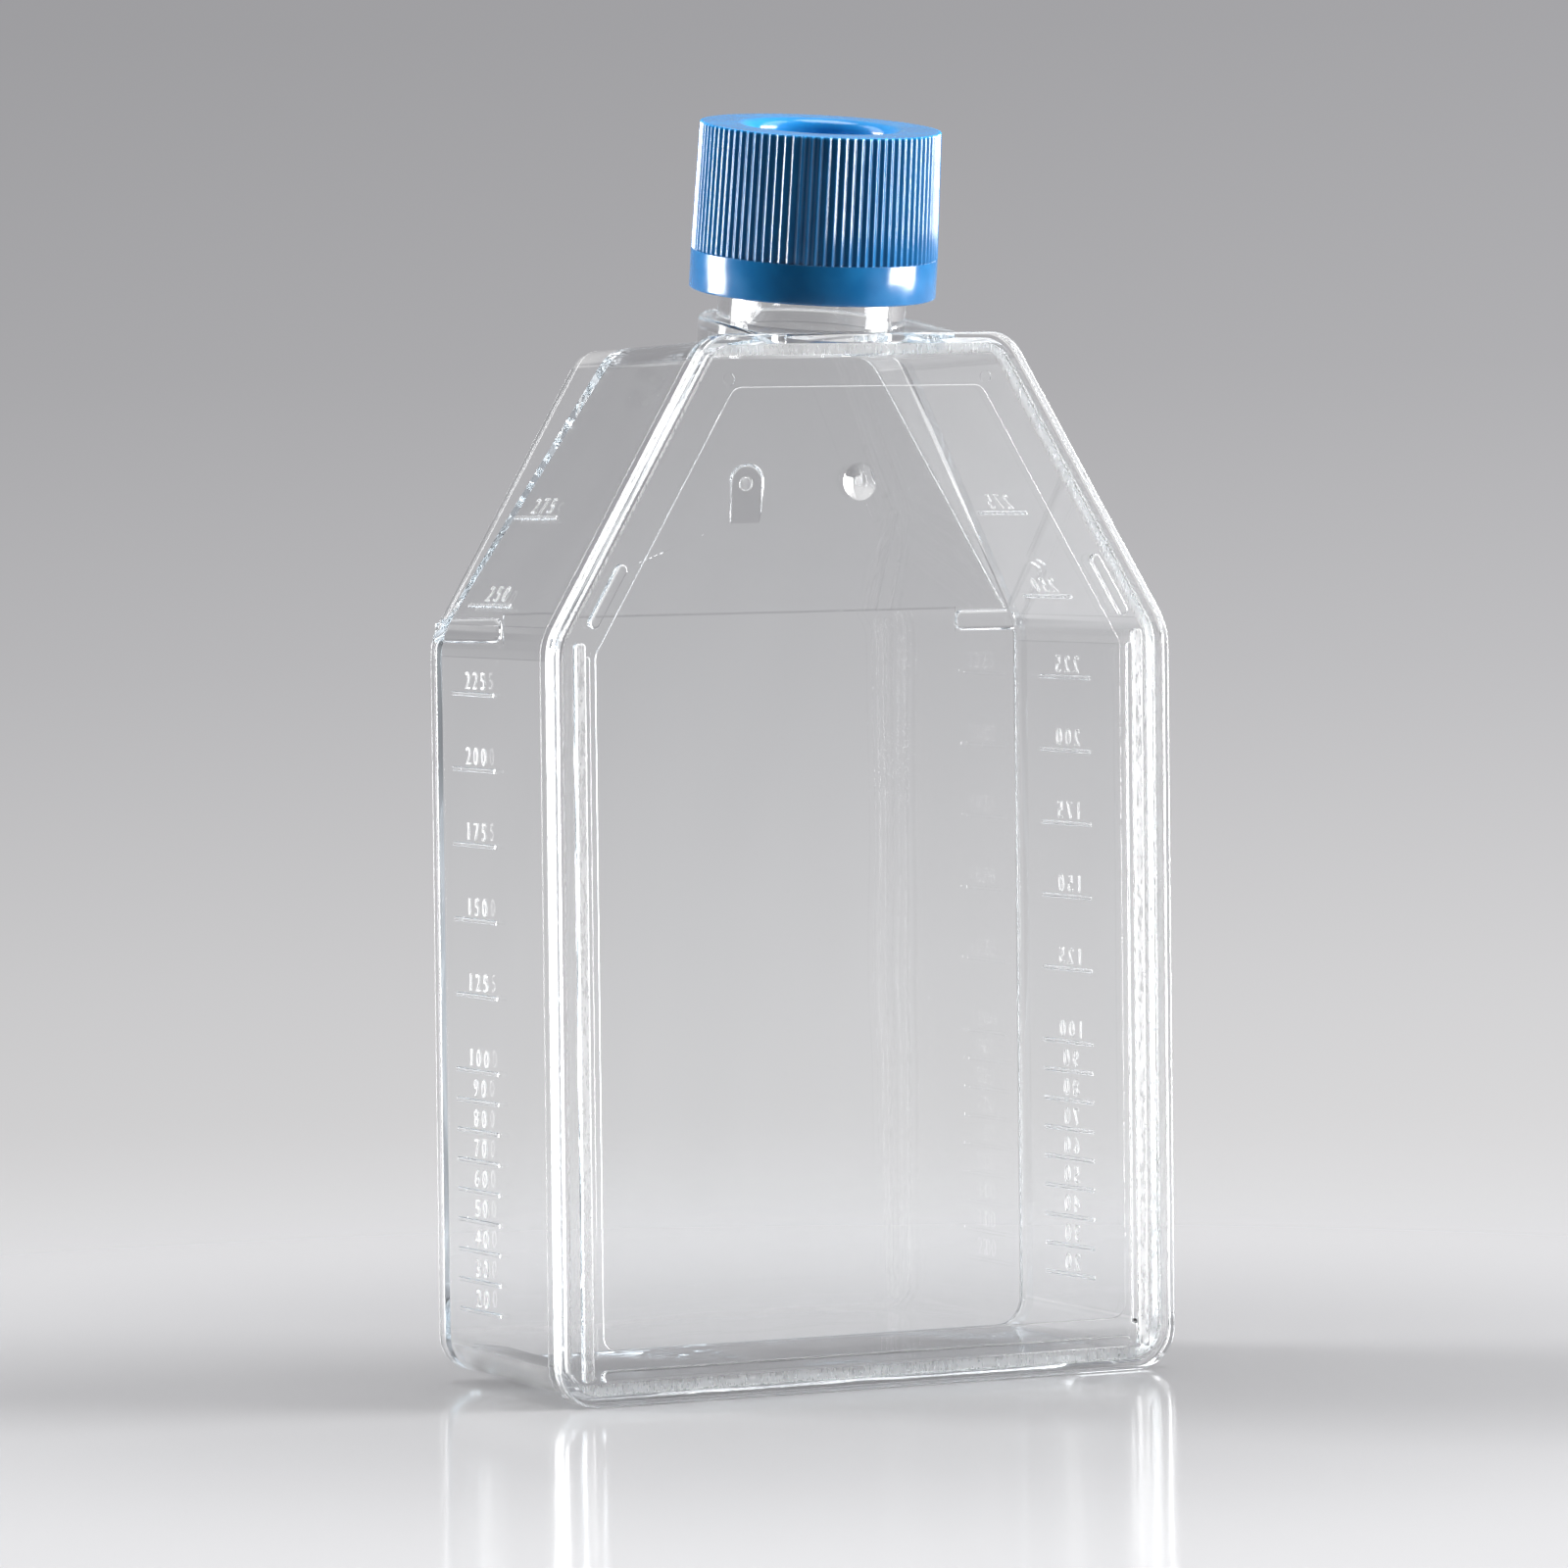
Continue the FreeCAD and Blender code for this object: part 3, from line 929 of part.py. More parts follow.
if groove.Shape.Volume > mouth.Shape.Volume - 1.0:
    raise RuntimeError("grip groove cuts nothing")
grip = cap.newObject("PartDesign::PolarPattern", "grip")
grip.Originals = [groove]
grip.Axis = (cap_sketch, ["V_Axis"])
grip.Angle = 360
grip.setExpression("Occurrences", "dims.rib_count")
grip.Refine = False
cap.Tip = grip
doc.recompute()

cap.Label = "cap"
neck_frame(cap)

# ---------------------------------------------------------------- vent membrane
membrane = doc.addObject("Part::Cylinder", "vent_membrane")
membrane.setExpression("Radius", "dims.membrane_radius")
membrane.setExpression("Height", "dims.membrane_thick")
membrane.Placement = FreeCAD.Placement(V(0, 0, 0), FreeCAD.Rotation(V(1, 0, 0), D["neck_cant"]))
lift = "(dims.plug_low + dims.seat_depth - dims.membrane_clear - dims.membrane_thick)"
membrane.setExpression("Placement.Rotation.Angle", "dims.neck_cant")
membrane.setExpression("Placement.Base.y", "dims.neck_y - %s * sin(dims.neck_cant * 1 deg)" % lift)
membrane.setExpression("Placement.Base.z", "dims.neck_z + %s * cos(dims.neck_cant * 1 deg)" % lift)
membrane.Label = "vent_membrane"
doc.recompute()

# ---------------------------------------------------------------- checks and export
for obj in doc.Objects:
    bad = [s for s in obj.State if s in ("Invalid", "Error")]
    if bad:
        raise RuntimeError("%s is %s" % (obj.Name, bad))

nodes = [flask, plate, cap, membrane]
for obj in nodes:
    shape = obj.Shape
    if shape.isNull() or not shape.isValid() or len(shape.Solids) != 1:
        raise RuntimeError("%s has a bad shape (%d solids)" % (obj.Label, len(shape.Solids)))

os.makedirs("parts", exist_ok=True)
for obj in nodes:
    obj.Shape.exportStep("parts/%s.step" % obj.Label)
    box = obj.Shape.BoundBox
    print("%-16s volume %9.1f mm3  x %.2f..%.2f  y %.2f..%.2f  z %.2f..%.2f" % (
        obj.Label, obj.Shape.Volume, box.XMin, box.XMax, box.YMin, box.YMax, box.ZMin, box.ZMax))
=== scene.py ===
import math

import bmesh
import bpy
import numpy as np
from mathutils import Matrix, Vector
from mathutils.bvhtree import BVHTree
from mathutils.geometry import delaunay_2d_cdt


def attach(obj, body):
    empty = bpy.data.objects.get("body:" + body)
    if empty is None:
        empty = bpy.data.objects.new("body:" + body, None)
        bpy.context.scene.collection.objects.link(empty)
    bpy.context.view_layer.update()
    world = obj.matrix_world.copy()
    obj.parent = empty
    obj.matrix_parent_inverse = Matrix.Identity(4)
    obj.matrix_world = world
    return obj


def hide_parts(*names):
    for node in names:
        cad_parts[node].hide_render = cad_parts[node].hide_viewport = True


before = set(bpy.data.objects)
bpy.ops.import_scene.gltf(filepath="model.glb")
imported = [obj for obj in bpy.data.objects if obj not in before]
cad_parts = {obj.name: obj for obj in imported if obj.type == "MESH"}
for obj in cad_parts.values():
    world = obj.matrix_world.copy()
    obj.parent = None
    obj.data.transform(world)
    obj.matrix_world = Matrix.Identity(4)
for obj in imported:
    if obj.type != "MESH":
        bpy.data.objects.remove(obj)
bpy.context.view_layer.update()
scene = bpy.context.scene


# ---------------------------------------------------------------- small helpers for node trees
class Nodes:
    """Short calls for making a node tree."""

    def __init__(self, tree):
        self.tree = tree
        tree.nodes.clear()

    def add(self, kind, **values):
        node = self.tree.nodes.new(kind)
        for key, value in values.items():
            setattr(node, key, value)
        return node

    def link(self, a, b):
        self.tree.links.new(a, b)

    def put(self, socket, value):
        if hasattr(value, "is_output") or isinstance(value, bpy.types.NodeSocket):
            self.link(value, socket)
        else:
            socket.default_value = value

    def math(self, op, a, b=0.0, c=0.0, clamp=False):
        node = self.add("ShaderNodeMath", operation=op, use_clamp=clamp)
        for socket, value in zip(node.inputs, (a, b, c)):
            self.put(socket, value)
        return node.outputs[0]

    def ramp(self, value, low, high, out_low=0.0, out_high=1.0, kind="SMOOTHSTEP"):
        node = self.add("ShaderNodeMapRange", interpolation_type=kind)
        for socket, v in zip(node.inputs, (value, low, high, out_low, out_high)):
            self.put(socket, v)
        return node.outputs[0]

    def noise(self, vector, scale, detail=2.0, rough=0.5):
        node = self.add("ShaderNodeTexNoise")
        self.put(node.inputs["Vector"], vector)
        node.inputs["Scale"].default_value = scale
        node.inputs["Detail"].default_value = detail
        node.inputs["Roughness"].default_value = rough
        return node.outputs["Fac"]


# ---------------------------------------------------------------- camera
AZ, EL, ROLL = map(math.radians, (-27.751, 2.660, -0.639))
DIST = 1.09732
TARGET = Vector((-0.001918, 0.00221, 0.07297))
back = Vector((math.sin(AZ) * math.cos(EL), -math.cos(AZ) * math.cos(EL), math.sin(EL)))
right = Vector((math.cos(AZ), math.sin(AZ), 0.0))
up = back.cross(right)
r2 = math.cos(ROLL) * right + math.sin(ROLL) * up
u2 = -math.sin(ROLL) * right + math.cos(ROLL) * up
cam_data = bpy.data.cameras.new("camera")
cam_data.sensor_width = 36.0
cam_data.lens = 9115.1 / 1600.0 * 36.0
cam_data.clip_start, cam_data.clip_end = 0.05, 50.0
cam = bpy.data.objects.new("camera", cam_data)
m = Matrix((r2, u2, back)).transposed().to_4x4()
m.translation = TARGET + back * DIST
cam.matrix_world = m
scene.collection.objects.link(cam)
scene.camera = cam

# ---------------------------------------------------------------- studio: a sky of soft boxes, a pale floor
# all directions are measured from the side the main view looks from
front_angle = math.atan2(-math.cos(AZ), math.sin(AZ))
world = bpy.data.worlds.new("studio")
scene.world = world
world.use_nodes = True
w = Nodes(world.node_tree)
coord = w.add("ShaderNodeTexCoord").outputs["Generated"]
norm = w.add("ShaderNodeVectorMath", operation="NORMALIZE")
w.link(coord, norm.inputs[0])
sep = w.add("ShaderNodeSeparateXYZ")
w.link(norm.outputs[0], sep.inputs[0])
dx, dy, dz = sep.outputs
rise = w.math("MULTIPLY", w.math("ARCSINE", dz), 180 / math.pi)


def turn_from(angle):
    """Degrees between the ray's compass direction and the given one, without a sign."""
    flat = w.math("SQRT", w.math("ADD", w.math("MULTIPLY", dx, dx), w.math("MULTIPLY", dy, dy)))
    dot = w.math("ADD", w.math("MULTIPLY", dx, math.cos(angle)), w.math("MULTIPLY", dy, math.sin(angle)))
    cosine = w.math("DIVIDE", dot, w.math("MAXIMUM", flat, 1e-4))
    return w.math("MULTIPLY", w.math("ARCCOSINE", w.math("MINIMUM", w.math("MAXIMUM", cosine, -1.0), 1.0)), 180 / math.pi)


def box_light(angle, half, low, high, soft=2.0):
    """A soft box standing in the given direction, between two elevations."""
    side = w.ramp(turn_from(angle), half + soft, half - soft)
    floor_side = w.ramp(rise, low - soft, low + soft)
    top_side = w.ramp(rise, high + soft, high - soft)
    return w.math("MULTIPLY", side, w.math("MULTIPLY", floor_side, top_side))


away = turn_from(front_angle)
# backdrop: near white low down and grey higher up, a little lighter to the right; the side the camera
# stands on is dark
sky = w.add("ShaderNodeValToRGB")
w.link(w.ramp(rise, -10.0, 10.0, kind="LINEAR"), sky.inputs[0])
stops = ((0.0, 0.73), (0.15, 0.73), (0.20, 0.72), (0.305, 0.62), (0.405, 0.50), (0.50, 0.415), (0.61, 0.362), (1.0, 0.33))
while len(sky.color_ramp.elements) < len(stops):
    sky.color_ramp.elements.new(0.5)
for element, (at, grey) in zip(sky.color_ramp.elements, stops):
    element.position = at
    blue = 1.035 - 0.045 * (grey - 0.33) / 0.5
    element.color = (grey, grey * 0.993, grey * blue, 1.0)
across = w.math("ADD", w.math("MULTIPLY", dx, right.x), w.math("MULTIPLY", dy, right.y))
lean = w.ramp(across, -0.12, 0.12, 0.93, 1.07, kind="LINEAR")
to_right = w.ramp(across, -0.02, 0.02)
dark_left = w.ramp(away, 55.0, 80.0, 0.07, 1.0)
dark_right = w.ramp(away, 45.0, 64.0, 0.07, 1.0)
dark = w.math("ADD", dark_left, w.math("MULTIPLY", to_right, w.math("SUBTRACT", dark_right, dark_left)))
left_box = box_light(front_angle - math.radians(103), 11.5, -9.0, 20.0)
right_box = box_light(front_angle + math.radians(92), 16.0, -9.0, 20.0)
left_high = box_light(front_angle - math.radians(103), 16.0, 20.0, 60.0)
right_high = box_light(front_angle + math.radians(92), 18.0, 20.0, 60.0)
top_box = w.ramp(rise, 66.0, 74.0)
front_card = box_light(front_angle + math.radians(56), 7.0, -12.0, 14.0)
boxes = w.math("ADD", w.math("MULTIPLY", left_box, 36.0), w.math("MULTIPLY", right_box, 33.0))
boxes = w.math("ADD", boxes, w.math("MULTIPLY", w.math("ADD", left_high, right_high), 3.5))
boxes = w.math("ADD", boxes, w.math("ADD", w.math("MULTIPLY", top_box, 6.0), w.math("MULTIPLY", front_card, 0.16)))
base = w.add("ShaderNodeVectorMath", operation="SCALE")
w.link(sky.outputs["Color"], base.inputs[0])
w.link(w.math("MULTIPLY", lean, dark), base.inputs["Scale"])
total = w.add("ShaderNodeVectorMath", operation="ADD")
w.link(base.outputs[0], total.inputs[0])
w.link(boxes, total.inputs[1])
background = w.add("ShaderNodeBackground")
w.link(total.outputs[0], background.inputs["Color"])
w.link(background.outputs[0], w.add("ShaderNodeOutputWorld").inputs["Surface"])


def material(name):
    mat = bpy.data.materials.new(name)
    mat.use_nodes = True
    return mat, Nodes(mat.node_tree)


floor_mesh = bpy.data.meshes.new("floor")
ring = 96
verts = [(0.0, 0.0, 0.0)] + [(2.6 * math.cos(2 * math.pi * i / ring), 2.6 * math.sin(2 * math.pi * i / ring), 0.0) for i in range(ring)]
floor_mesh.from_pydata(verts, [], [(0, 1 + i, 1 + (i + 1) % ring) for i in range(ring)])
floor = bpy.data.objects.new("floor", floor_mesh)
scene.collection.objects.link(floor)
floor.location.z = -0.00005
floor_mat, n = material("pale_floor")
obj_coord = n.add("ShaderNodeTexCoord").outputs["Object"]
length = n.add("ShaderNodeVectorMath", operation="LENGTH")
n.link(obj_coord, length.inputs[0])
fade = n.ramp(length.outputs["Value"], 0.10, 0.42)
bsdf = n.add("ShaderNodeBsdfPrincipled")
# painted shade: the floor's colour is a little darker under the flask and paler further out, a painted soft shadow
# round its foot
shade_albedo = n.ramp(length.outputs["Value"], 0.05, 0.20, 0.46, 0.66)
tone = n.add("ShaderNodeCombineColor")
for channel in (0, 1):
    n.link(shade_albedo, tone.inputs[channel])
n.link(n.math("MULTIPLY", shade_albedo, 1.012), tone.inputs[2])
n.link(tone.outputs[0], bsdf.inputs["Base Color"])
bsdf.inputs["Roughness"].default_value = 0.10
clear = n.add("ShaderNodeBsdfTransparent")
mix = n.add("ShaderNodeMixShader")
n.link(fade, mix.inputs[0])
n.link(bsdf.outputs[0], mix.inputs[1])
n.link(clear.outputs[0], mix.inputs[2])
n.link(mix.outputs[0], n.add("ShaderNodeOutputMaterial").inputs["Surface"])
floor_mesh.materials.append(floor_mat)

scene.view_settings.view_transform = "Standard"
scene.view_settings.look = "None"
scene.cycles.use_denoising = True
scene.cycles.max_bounces = 96
scene.cycles.transmission_bounces = 96
scene.cycles.glossy_bounces = 96
scene.cycles.transparent_max_bounces = 64
scene.cycles.diffuse_bounces = 4

# ---------------------------------------------------------------- shapes
CANT = math.radians(7.7)
NECK = Matrix.Translation((0.0, -0.00298, 0.1332)) @ Matrix.Rotation(CANT, 4, "X")
MM = 0.001


class Skin:
    """Points and faces gathered ring by ring. Each ring is a closed loop round the neck's axis."""

    def __init__(self):
        self.points, self.faces, self.normals = [], [], {}

    def ring(self, radii, heights, angles):
        first = len(self.points)
        radii = np.broadcast_to(radii, angles.shape)
        heights = np.broadcast_to(heights, angles.shape)
        for r, h, t in zip(radii, heights, angles):
            self.points.append((r * math.cos(t), r * math.sin(t), h))
        return list(range(first, len(self.points)))

    def angle(self, i):
        return math.atan2(self.points[i][1], self.points[i][0]) % (2 * math.pi)

    def zip(self, low, high):
        """Faces between two loops that may have different numbers of points."""
        low = sorted(low, key=self.angle)
        high = sorted(high, key=self.angle)
        if len(low) == len(high) and all(abs(self.angle(p) - self.angle(q)) < 1e-6 for p, q in zip(low, high)):
            for i in range(len(low)):
                j = (i + 1) % len(low)
                self.faces.append((low[i], low[j], high[j], high[i]))
            return
        a = [self.angle(i) for i in low] + [self.angle(low[0]) + 2 * math.pi]
        b = [self.angle(i) for i in high] + [self.angle(high[0]) + 2 * math.pi]
        i = j = 0
        while i < len(low) or j < len(high):
            if j >= len(high) or (i < len(low) and a[i + 1] <= b[j + 1]):
                self.faces.append((low[i], low[(i + 1) % len(low)], high[j % len(high)]))
                i += 1
            else:
                self.faces.append((low[i % len(low)], high[(j + 1) % len(high)], high[j]))
                j += 1


def piece(name, mesh, body, node, mats):
    obj = bpy.data.objects.new(name, mesh)
    scene.collection.objects.link(obj)
    for mat in mats:
        mesh.materials.append(mat)
    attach(obj, body)
    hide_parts(node)
    return obj


# thread of the neck and of the cap: right-handed, 3.2 mm a turn, the two half a turn of pitch apart
PITCH = 3.2


def ridge(angles, h, start, turns, shift, tall, tip, foot):
    """Height of a helical ridge over a cylinder, run out at both ends."""
    out = np.zeros_like(angles)
    for k in range(-1, 8):
        along = angles / (2 * math.pi) + k
        centre = start + shift + PITCH * along
        d = np.abs(h - centre)
        flank = np.clip((foot - d) / (foot - tip), 0.0, 1.0)
        flank = flank * flank * (3 - 2 * flank)
        fade = np.clip(np.minimum(along, turns - along) / 0.09, 0.0, 1.0)
        fade = fade * fade * (3 - 2 * fade)
        out = np.maximum(out, tall * flank * fade)
    return out


# ---------------------------------------------------------------- cap
CAP_R, CAP_TOP_R, CAP_H, BAND = 15.08, 14.75, 20.4, 4.86
RIBS = 90
half_pitch = math.pi * CAP_R / RIBS
steps = np.array([0.0, 0.075, 0.15, 0.22, 0.28, 0.33, 0.365, 0.40, 0.43, 0.475]) * CAP_R * math.radians(2.0) / 0.5
groove_at = np.concatenate([steps, [half_pitch], (2 * half_pitch - steps[1:])[::-1]])


def groove_depth(d):
    """Depth under the crest at a distance from a groove's root: straight flanks, root and crest rounded."""
    total = np.zeros_like(d)
    for off in np.linspace(-0.11, 0.11, 15):
        x = np.abs(np.mod(d + off + half_pitch, 2 * half_pitch) - half_pitch)
        total += 0.64 * (half_pitch - x)
    return total / 15 - 0.035


across_groove = np.minimum(groove_at, 2 * half_pitch - groove_at)
depth = np.tile(groove_depth(across_groove), RIBS)
rib_angles = (np.arange(RIBS)[:, None] * (2 * math.pi / RIBS) + groove_at[None, :] / CAP_R).ravel()
plain = np.arange(360) * (2 * math.pi / 360)

cap_skin = Skin()
s = cap_skin


def skirt(h):
    return CAP_R - (CAP_R - CAP_TOP_R) * (h - BAND) / (CAP_H - BAND)


# outside, from the mouth up
rows = []
for t in np.linspace(0, 90, 5):
    c = math.radians(t)
    rows.append(s.ring(CAP_R - 0.3 + 0.3 * math.sin(c), 0.3 - 0.3 * math.cos(c), plain))
rows.append(s.ring(CAP_R, 2.5, plain))
rows.append(s.ring(CAP_R, BAND - 0.10, rib_angles))
rows.append(s.ring(CAP_R - 0.03, BAND - 0.03, rib_angles))
rows.append(s.ring(CAP_R - 0.05 - depth * 0.15, BAND + 0.0 * depth, rib_angles))
rows.append(s.ring(CAP_R - 0.02 - depth, BAND + 0.03, rib_angles))
rows.append(s.ring(skirt(BAND + 0.12) - depth, BAND + 0.12, rib_angles))
for h in (9.0, 13.0, 17.0, 19.9):
    rows.append(s.ring(skirt(h) - depth, h, rib_angles))
for t in (25, 50, 75, 90):
    c = math.radians(t)
    rows.append(s.ring(skirt(CAP_H) - depth - 0.22 * (1 - math.cos(c)), CAP_H - 0.22 + 0.22 * math.sin(c), rib_angles))
rows.append(s.ring(14.05, CAP_H, plain))
# crown and the rounded lip of the well
rows.append(s.ring(12.0, CAP_H, plain))
for t in np.linspace(0, 90, 11):
    c = math.radians(t)
    rows.append(s.ring(8.9 + 1.4 - 1.4 * math.sin(c), CAP_H - 1.4 + 1.4 * math.cos(c), plain))
rows.append(s.ring(8.9, 16.2, plain))
for t in (30, 60, 90):
    c = math.radians(t)
    rows.append(s.ring(8.9 - 0.3 * (1 - math.cos(c)), 16.2 - 0.3 * math.sin(c), plain))
rows.append(s.ring(6.0, 15.9, plain))
for low, high in zip(rows, rows[1:]):
    s.zip(low, high)
# floor of the well: six windows between the hub and the ring, open down to the disc's seat
OUTER, INNER = 6.0, 1.7
hub_top = s.ring(INNER, 15.9, plain)
outer_low = s.ring(OUTER, 15.15, plain)
hub_low = s.ring(INNER, 15.15, plain)
outer_top = rows[-1]
is_open = [((i - 30) % 60 + 30) % 60 in range(0, 22) or ((i - 30) % 60 + 30) % 60 >= 38 for i in range(360)]
for i in range(360):
    j = (i + 1) % 360
    if is_open[i]:
        s.faces.append((outer_top[i], outer_top[j], outer_low[j], outer_low[i]))
        s.faces.append((hub_top[j], hub_top[i], hub_low[i], hub_low[j]))
    else:
        s.faces.append((outer_top[i], outer_top[j], hub_top[j], hub_top[i]))
        s.faces.append((outer_low[j], outer_low[i], hub_low[i], hub_low[j]))
    if is_open[i] != is_open[i - 1]:
        s.faces.append((outer_top[i], hub_top[i], hub_low[i], outer_low[i]))
for loop, h in ((hub_top, 15.9), (hub_low, 15.15)):
    centre = len(s.points)
    s.points.append((0.0, 0.0, h))
    for i in range(360):
        s.faces.append((loop[i], loop[(i + 1) % 360], centre))
# under the floor: seat, plug, roof, threaded bore, mouth
under = [outer_low, s.ring(7.2, 15.15, plain), s.ring(7.2, 14.8, plain)]
for t in (0, 30, 60, 90):
    c = math.radians(t)
    under.append(s.ring(9.62 + 0.3 * math.sin(c), 15.1 - 0.3 * math.cos(c), plain))
under += [s.ring(9.92, 19.1, plain), s.ring(12.6, 19.1, plain), s.ring(12.8, 18.9, plain)]
for h in np.arange(11.6, 1.9, -0.16):
    under.append(s.ring(12.8 - ridge(plain, h, 4.6, 1.9, -PITCH / 2, 1.02, 0.22, 0.75), h, plain))
for t in (0, 30, 60, 90):
    c = math.radians(t)
    under.append(s.ring(13.1 - 0.3 * math.cos(c), 0.3 - 0.3 * math.sin(c), plain))
under.append(rows[0])
for low, high in zip(under, under[1:]):
    s.zip(low, high)

bm = bmesh.new()
verts = [bm.verts.new(NECK @ (Vector(p) * MM)) for p in s.points]
for f in s.faces:
    bm.faces.new([verts[i] for i in f])
bmesh.ops.recalc_face_normals(bm, faces=bm.faces)
open_edges = [e for e in bm.edges if len(e.link_faces) != 2]
print("cap", len(bm.verts), len(bm.faces), "open edges", len(open_edges), "volume mm3", round(bm.calc_volume() * 1e9, 1))
cap_mesh = bpy.data.meshes.new("vented_cap")
bm.to_mesh(cap_mesh)
bm.free()
for p in cap_mesh.polygons:
    p.use_smooth = True
cap_mesh.set_sharp_from_angle(angle=math.radians(42))

# ---------------------------------------------------------------- flask: raised numerals on the side walls, thread on the neck
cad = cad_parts["flask_body"].data
bm = bmesh.new()
bm.from_mesh(cad)
keep = bm.loops.layers.float_vector.new("kept_normal")
matt = bm.faces.layers.float.new("matt")
corner = [Vector(c.vector) for c in cad.corner_normals]
at = 0
for f in bm.faces:
    for loop in f.loops:
        loop[keep] = corner[at]
        at += 1
bmesh.ops.remove_doubles(bm, verts=bm.verts, dist=2e-7)
bm.faces.ensure_lookup_table()


def digits_outline(text, tall):
    """Triangles of a number as a flat mesh, lower left corner at the origin, its digits as tall as asked (mm)."""
    curve = bpy.data.curves.new("number", "FONT")
    curve.body = text
    curve.size = 1.0
    curve.resolution_u = 3
    curve.space_character = 1.55
    curve.offset = -0.008
    obj = bpy.data.objects.new("number", curve)
    scene.collection.objects.link(obj)
    dg = bpy.context.evaluated_depsgraph_get()
    flat = bpy.data.meshes.new_from_object(obj.evaluated_get(dg), depsgraph=dg)
    bpy.data.objects.remove(obj)
    bpy.data.curves.remove(curve)
    fb = bmesh.new()
    fb.from_mesh(flat)
    bpy.data.meshes.remove(flat)
    bmesh.ops.remove_doubles(fb, verts=fb.verts, dist=1e-5)
    lo_x, hi_x = min(v.co.x for v in fb.verts), max(v.co.x for v in fb.verts)
    lo_y, hi_y = min(v.co.y for v in fb.verts), max(v.co.y for v in fb.verts)
    k = tall / (hi_y - lo_y)
    fb.verts.index_update()
    pts = [((v.co.x - (lo_x + hi_x) / 2) * k * 0.92, (v.co.y - lo_y) * k) for v in fb.verts]
    edges = [(e.verts[0].index, e.verts[1].index) for e in fb.edges if len(e.link_faces) == 1]
    fb.free()
    used = sorted({i for e in edges for i in e})
    back_to = {i: n for n, i in enumerate(used)}
    return [pts[i] for i in used], [(back_to[a], back_to[b]) for a, b in edges]


def even_odd(point, segments):
    inside = False
    x, y = point
    for (x1, y1), (x2, y2) in segments:
        if (y1 > y) != (y2 > y) and x < (x2 - x1) * (y - y1) / (y2 - y1) + x1:
            inside = not inside
    return inside


def raise_numbers(seed, reading, numbers, proud):
    """Retriangulates the flat face under the seed point round some numbers and raises them out of it."""
    tree = BVHTree.FromBMesh(bm)
    place, normal, index, distance = tree.find_nearest(Vector(seed) * MM)
    bm.faces.ensure_lookup_table()
    face = bm.faces[index]
    n, o = face.normal.copy(), face.verts[0].co.copy()
    flat = [f for f in bm.faces if f.normal.dot(n) > 0.999995 and all(abs((v.co - o).dot(n)) < 3e-6 for v in f.verts)]
    # only those joined to the seed face
    group, todo, pool = {face}, [face], set(flat)
    while todo:
        for e in todo.pop().edges:
            for f in e.link_faces:
                if f in pool and f not in group:
                    group.add(f)
                    todo.append(f)
    u = (Vector(reading) - n * Vector(reading).dot(n)).normalized()
    v = n.cross(u)
    rim = [e for e in sorted({e for f in group for e in f.edges}, key=lambda e: (tuple(e.verts[0].co), tuple(e.verts[1].co)))
           if sum(f in group for f in e.link_faces) == 1]
    old = sorted({w for f in group for w in f.verts}, key=lambda w: tuple(w.co))
    number_of = {w: i for i, w in enumerate(old)}
    flat2 = lambda p: Vector(((p - o).dot(u) / MM, (p - o).dot(v) / MM))
    pts = [flat2(w.co) for w in old]
    rim2 = [(number_of[e.verts[0]], number_of[e.verts[1]]) for e in rim]
    rim_segments = [(tuple(pts[a]), tuple(pts[b])) for a, b in rim2]
    edges = list(rim2)
    number_segments = []
    for text, spot, tall in numbers:
        outline, joins = digits_outline(text, tall)
        base = flat2(Vector(spot) * MM)
        first = len(pts)
        pts += [Vector((base.x + x, base.y + y)) for x, y in outline]
        edges += [(first + a, first + b) for a, b in joins]
        number_segments.append([(tuple(pts[first + a]), tuple(pts[first + b])) for a, b in joins])
    new, _, tris, from_v, _, _ = delaunay_2d_cdt(pts, edges, [], 0, 1e-5)
    boxes = [(min(p[0][0] for p in seg), max(p[0][0] for p in seg), min(p[0][1] for p in seg), max(p[0][1] for p in seg))
             for seg in number_segments]
    low_vert = []
    for i, p in enumerate(new):
        source = [k for k in from_v[i] if k < len(old)]
        low_vert.append(old[source[0]] if source else bm.verts.new(o + (u * p.x + v * p.y) * MM))
    raised = {}

    def up_vert(i):
        if i not in raised:
            raised[i] = bm.verts.new(low_vert[i].co + n * proud * MM)
        return raised[i]

    bmesh.ops.delete(bm, geom=list(group), context="FACES_ONLY")
    walls, made = {}, 0
    for tri in tris:
        a, b, c = (new[i] for i in tri)
        mid = ((a.x + b.x + c.x) / 3, (a.y + b.y + c.y) / 3)
        if not even_odd(mid, rim_segments):
            continue
        on = any(x0 < mid[0] < x1 and y0 < mid[1] < y1 and even_odd(mid, seg)
                 for (x0, x1, y0, y1), seg in zip(boxes, number_segments))
        order = tri if (b - a).cross(c - a) > 0 else tri[::-1]
        corners = [up_vert(i) if on else low_vert[i] for i in order]
        f = bm.faces.new(corners)
        for loop in f.loops:
            loop[keep] = n
        f.smooth = True
        f[matt] = 0.85 if on else 0.0
        made += 1
        if on:
            for k in range(3):
                p, q = order[k], order[(k + 1) % 3]
                if (q, p) in walls:
                    del walls[(q, p)]
                else:
                    walls[(p, q)] = True
    for p, q in sorted(walls):
        f = bm.faces.new((low_vert[p], low_vert[q], up_vert(q), up_vert(p)))
        f.normal_update()
        for loop in f.loops:
            loop[keep] = f.normal
        f.smooth = True
        f[matt] = 0.85
    bm.normal_update()
    print("numbers on", [round(c, 3) for c in n], "faces", len(group), "->", made)


def wall_x(y, side):
    return side * (41.8 - (y + 13.48) * math.tan(math.radians(1.0)))


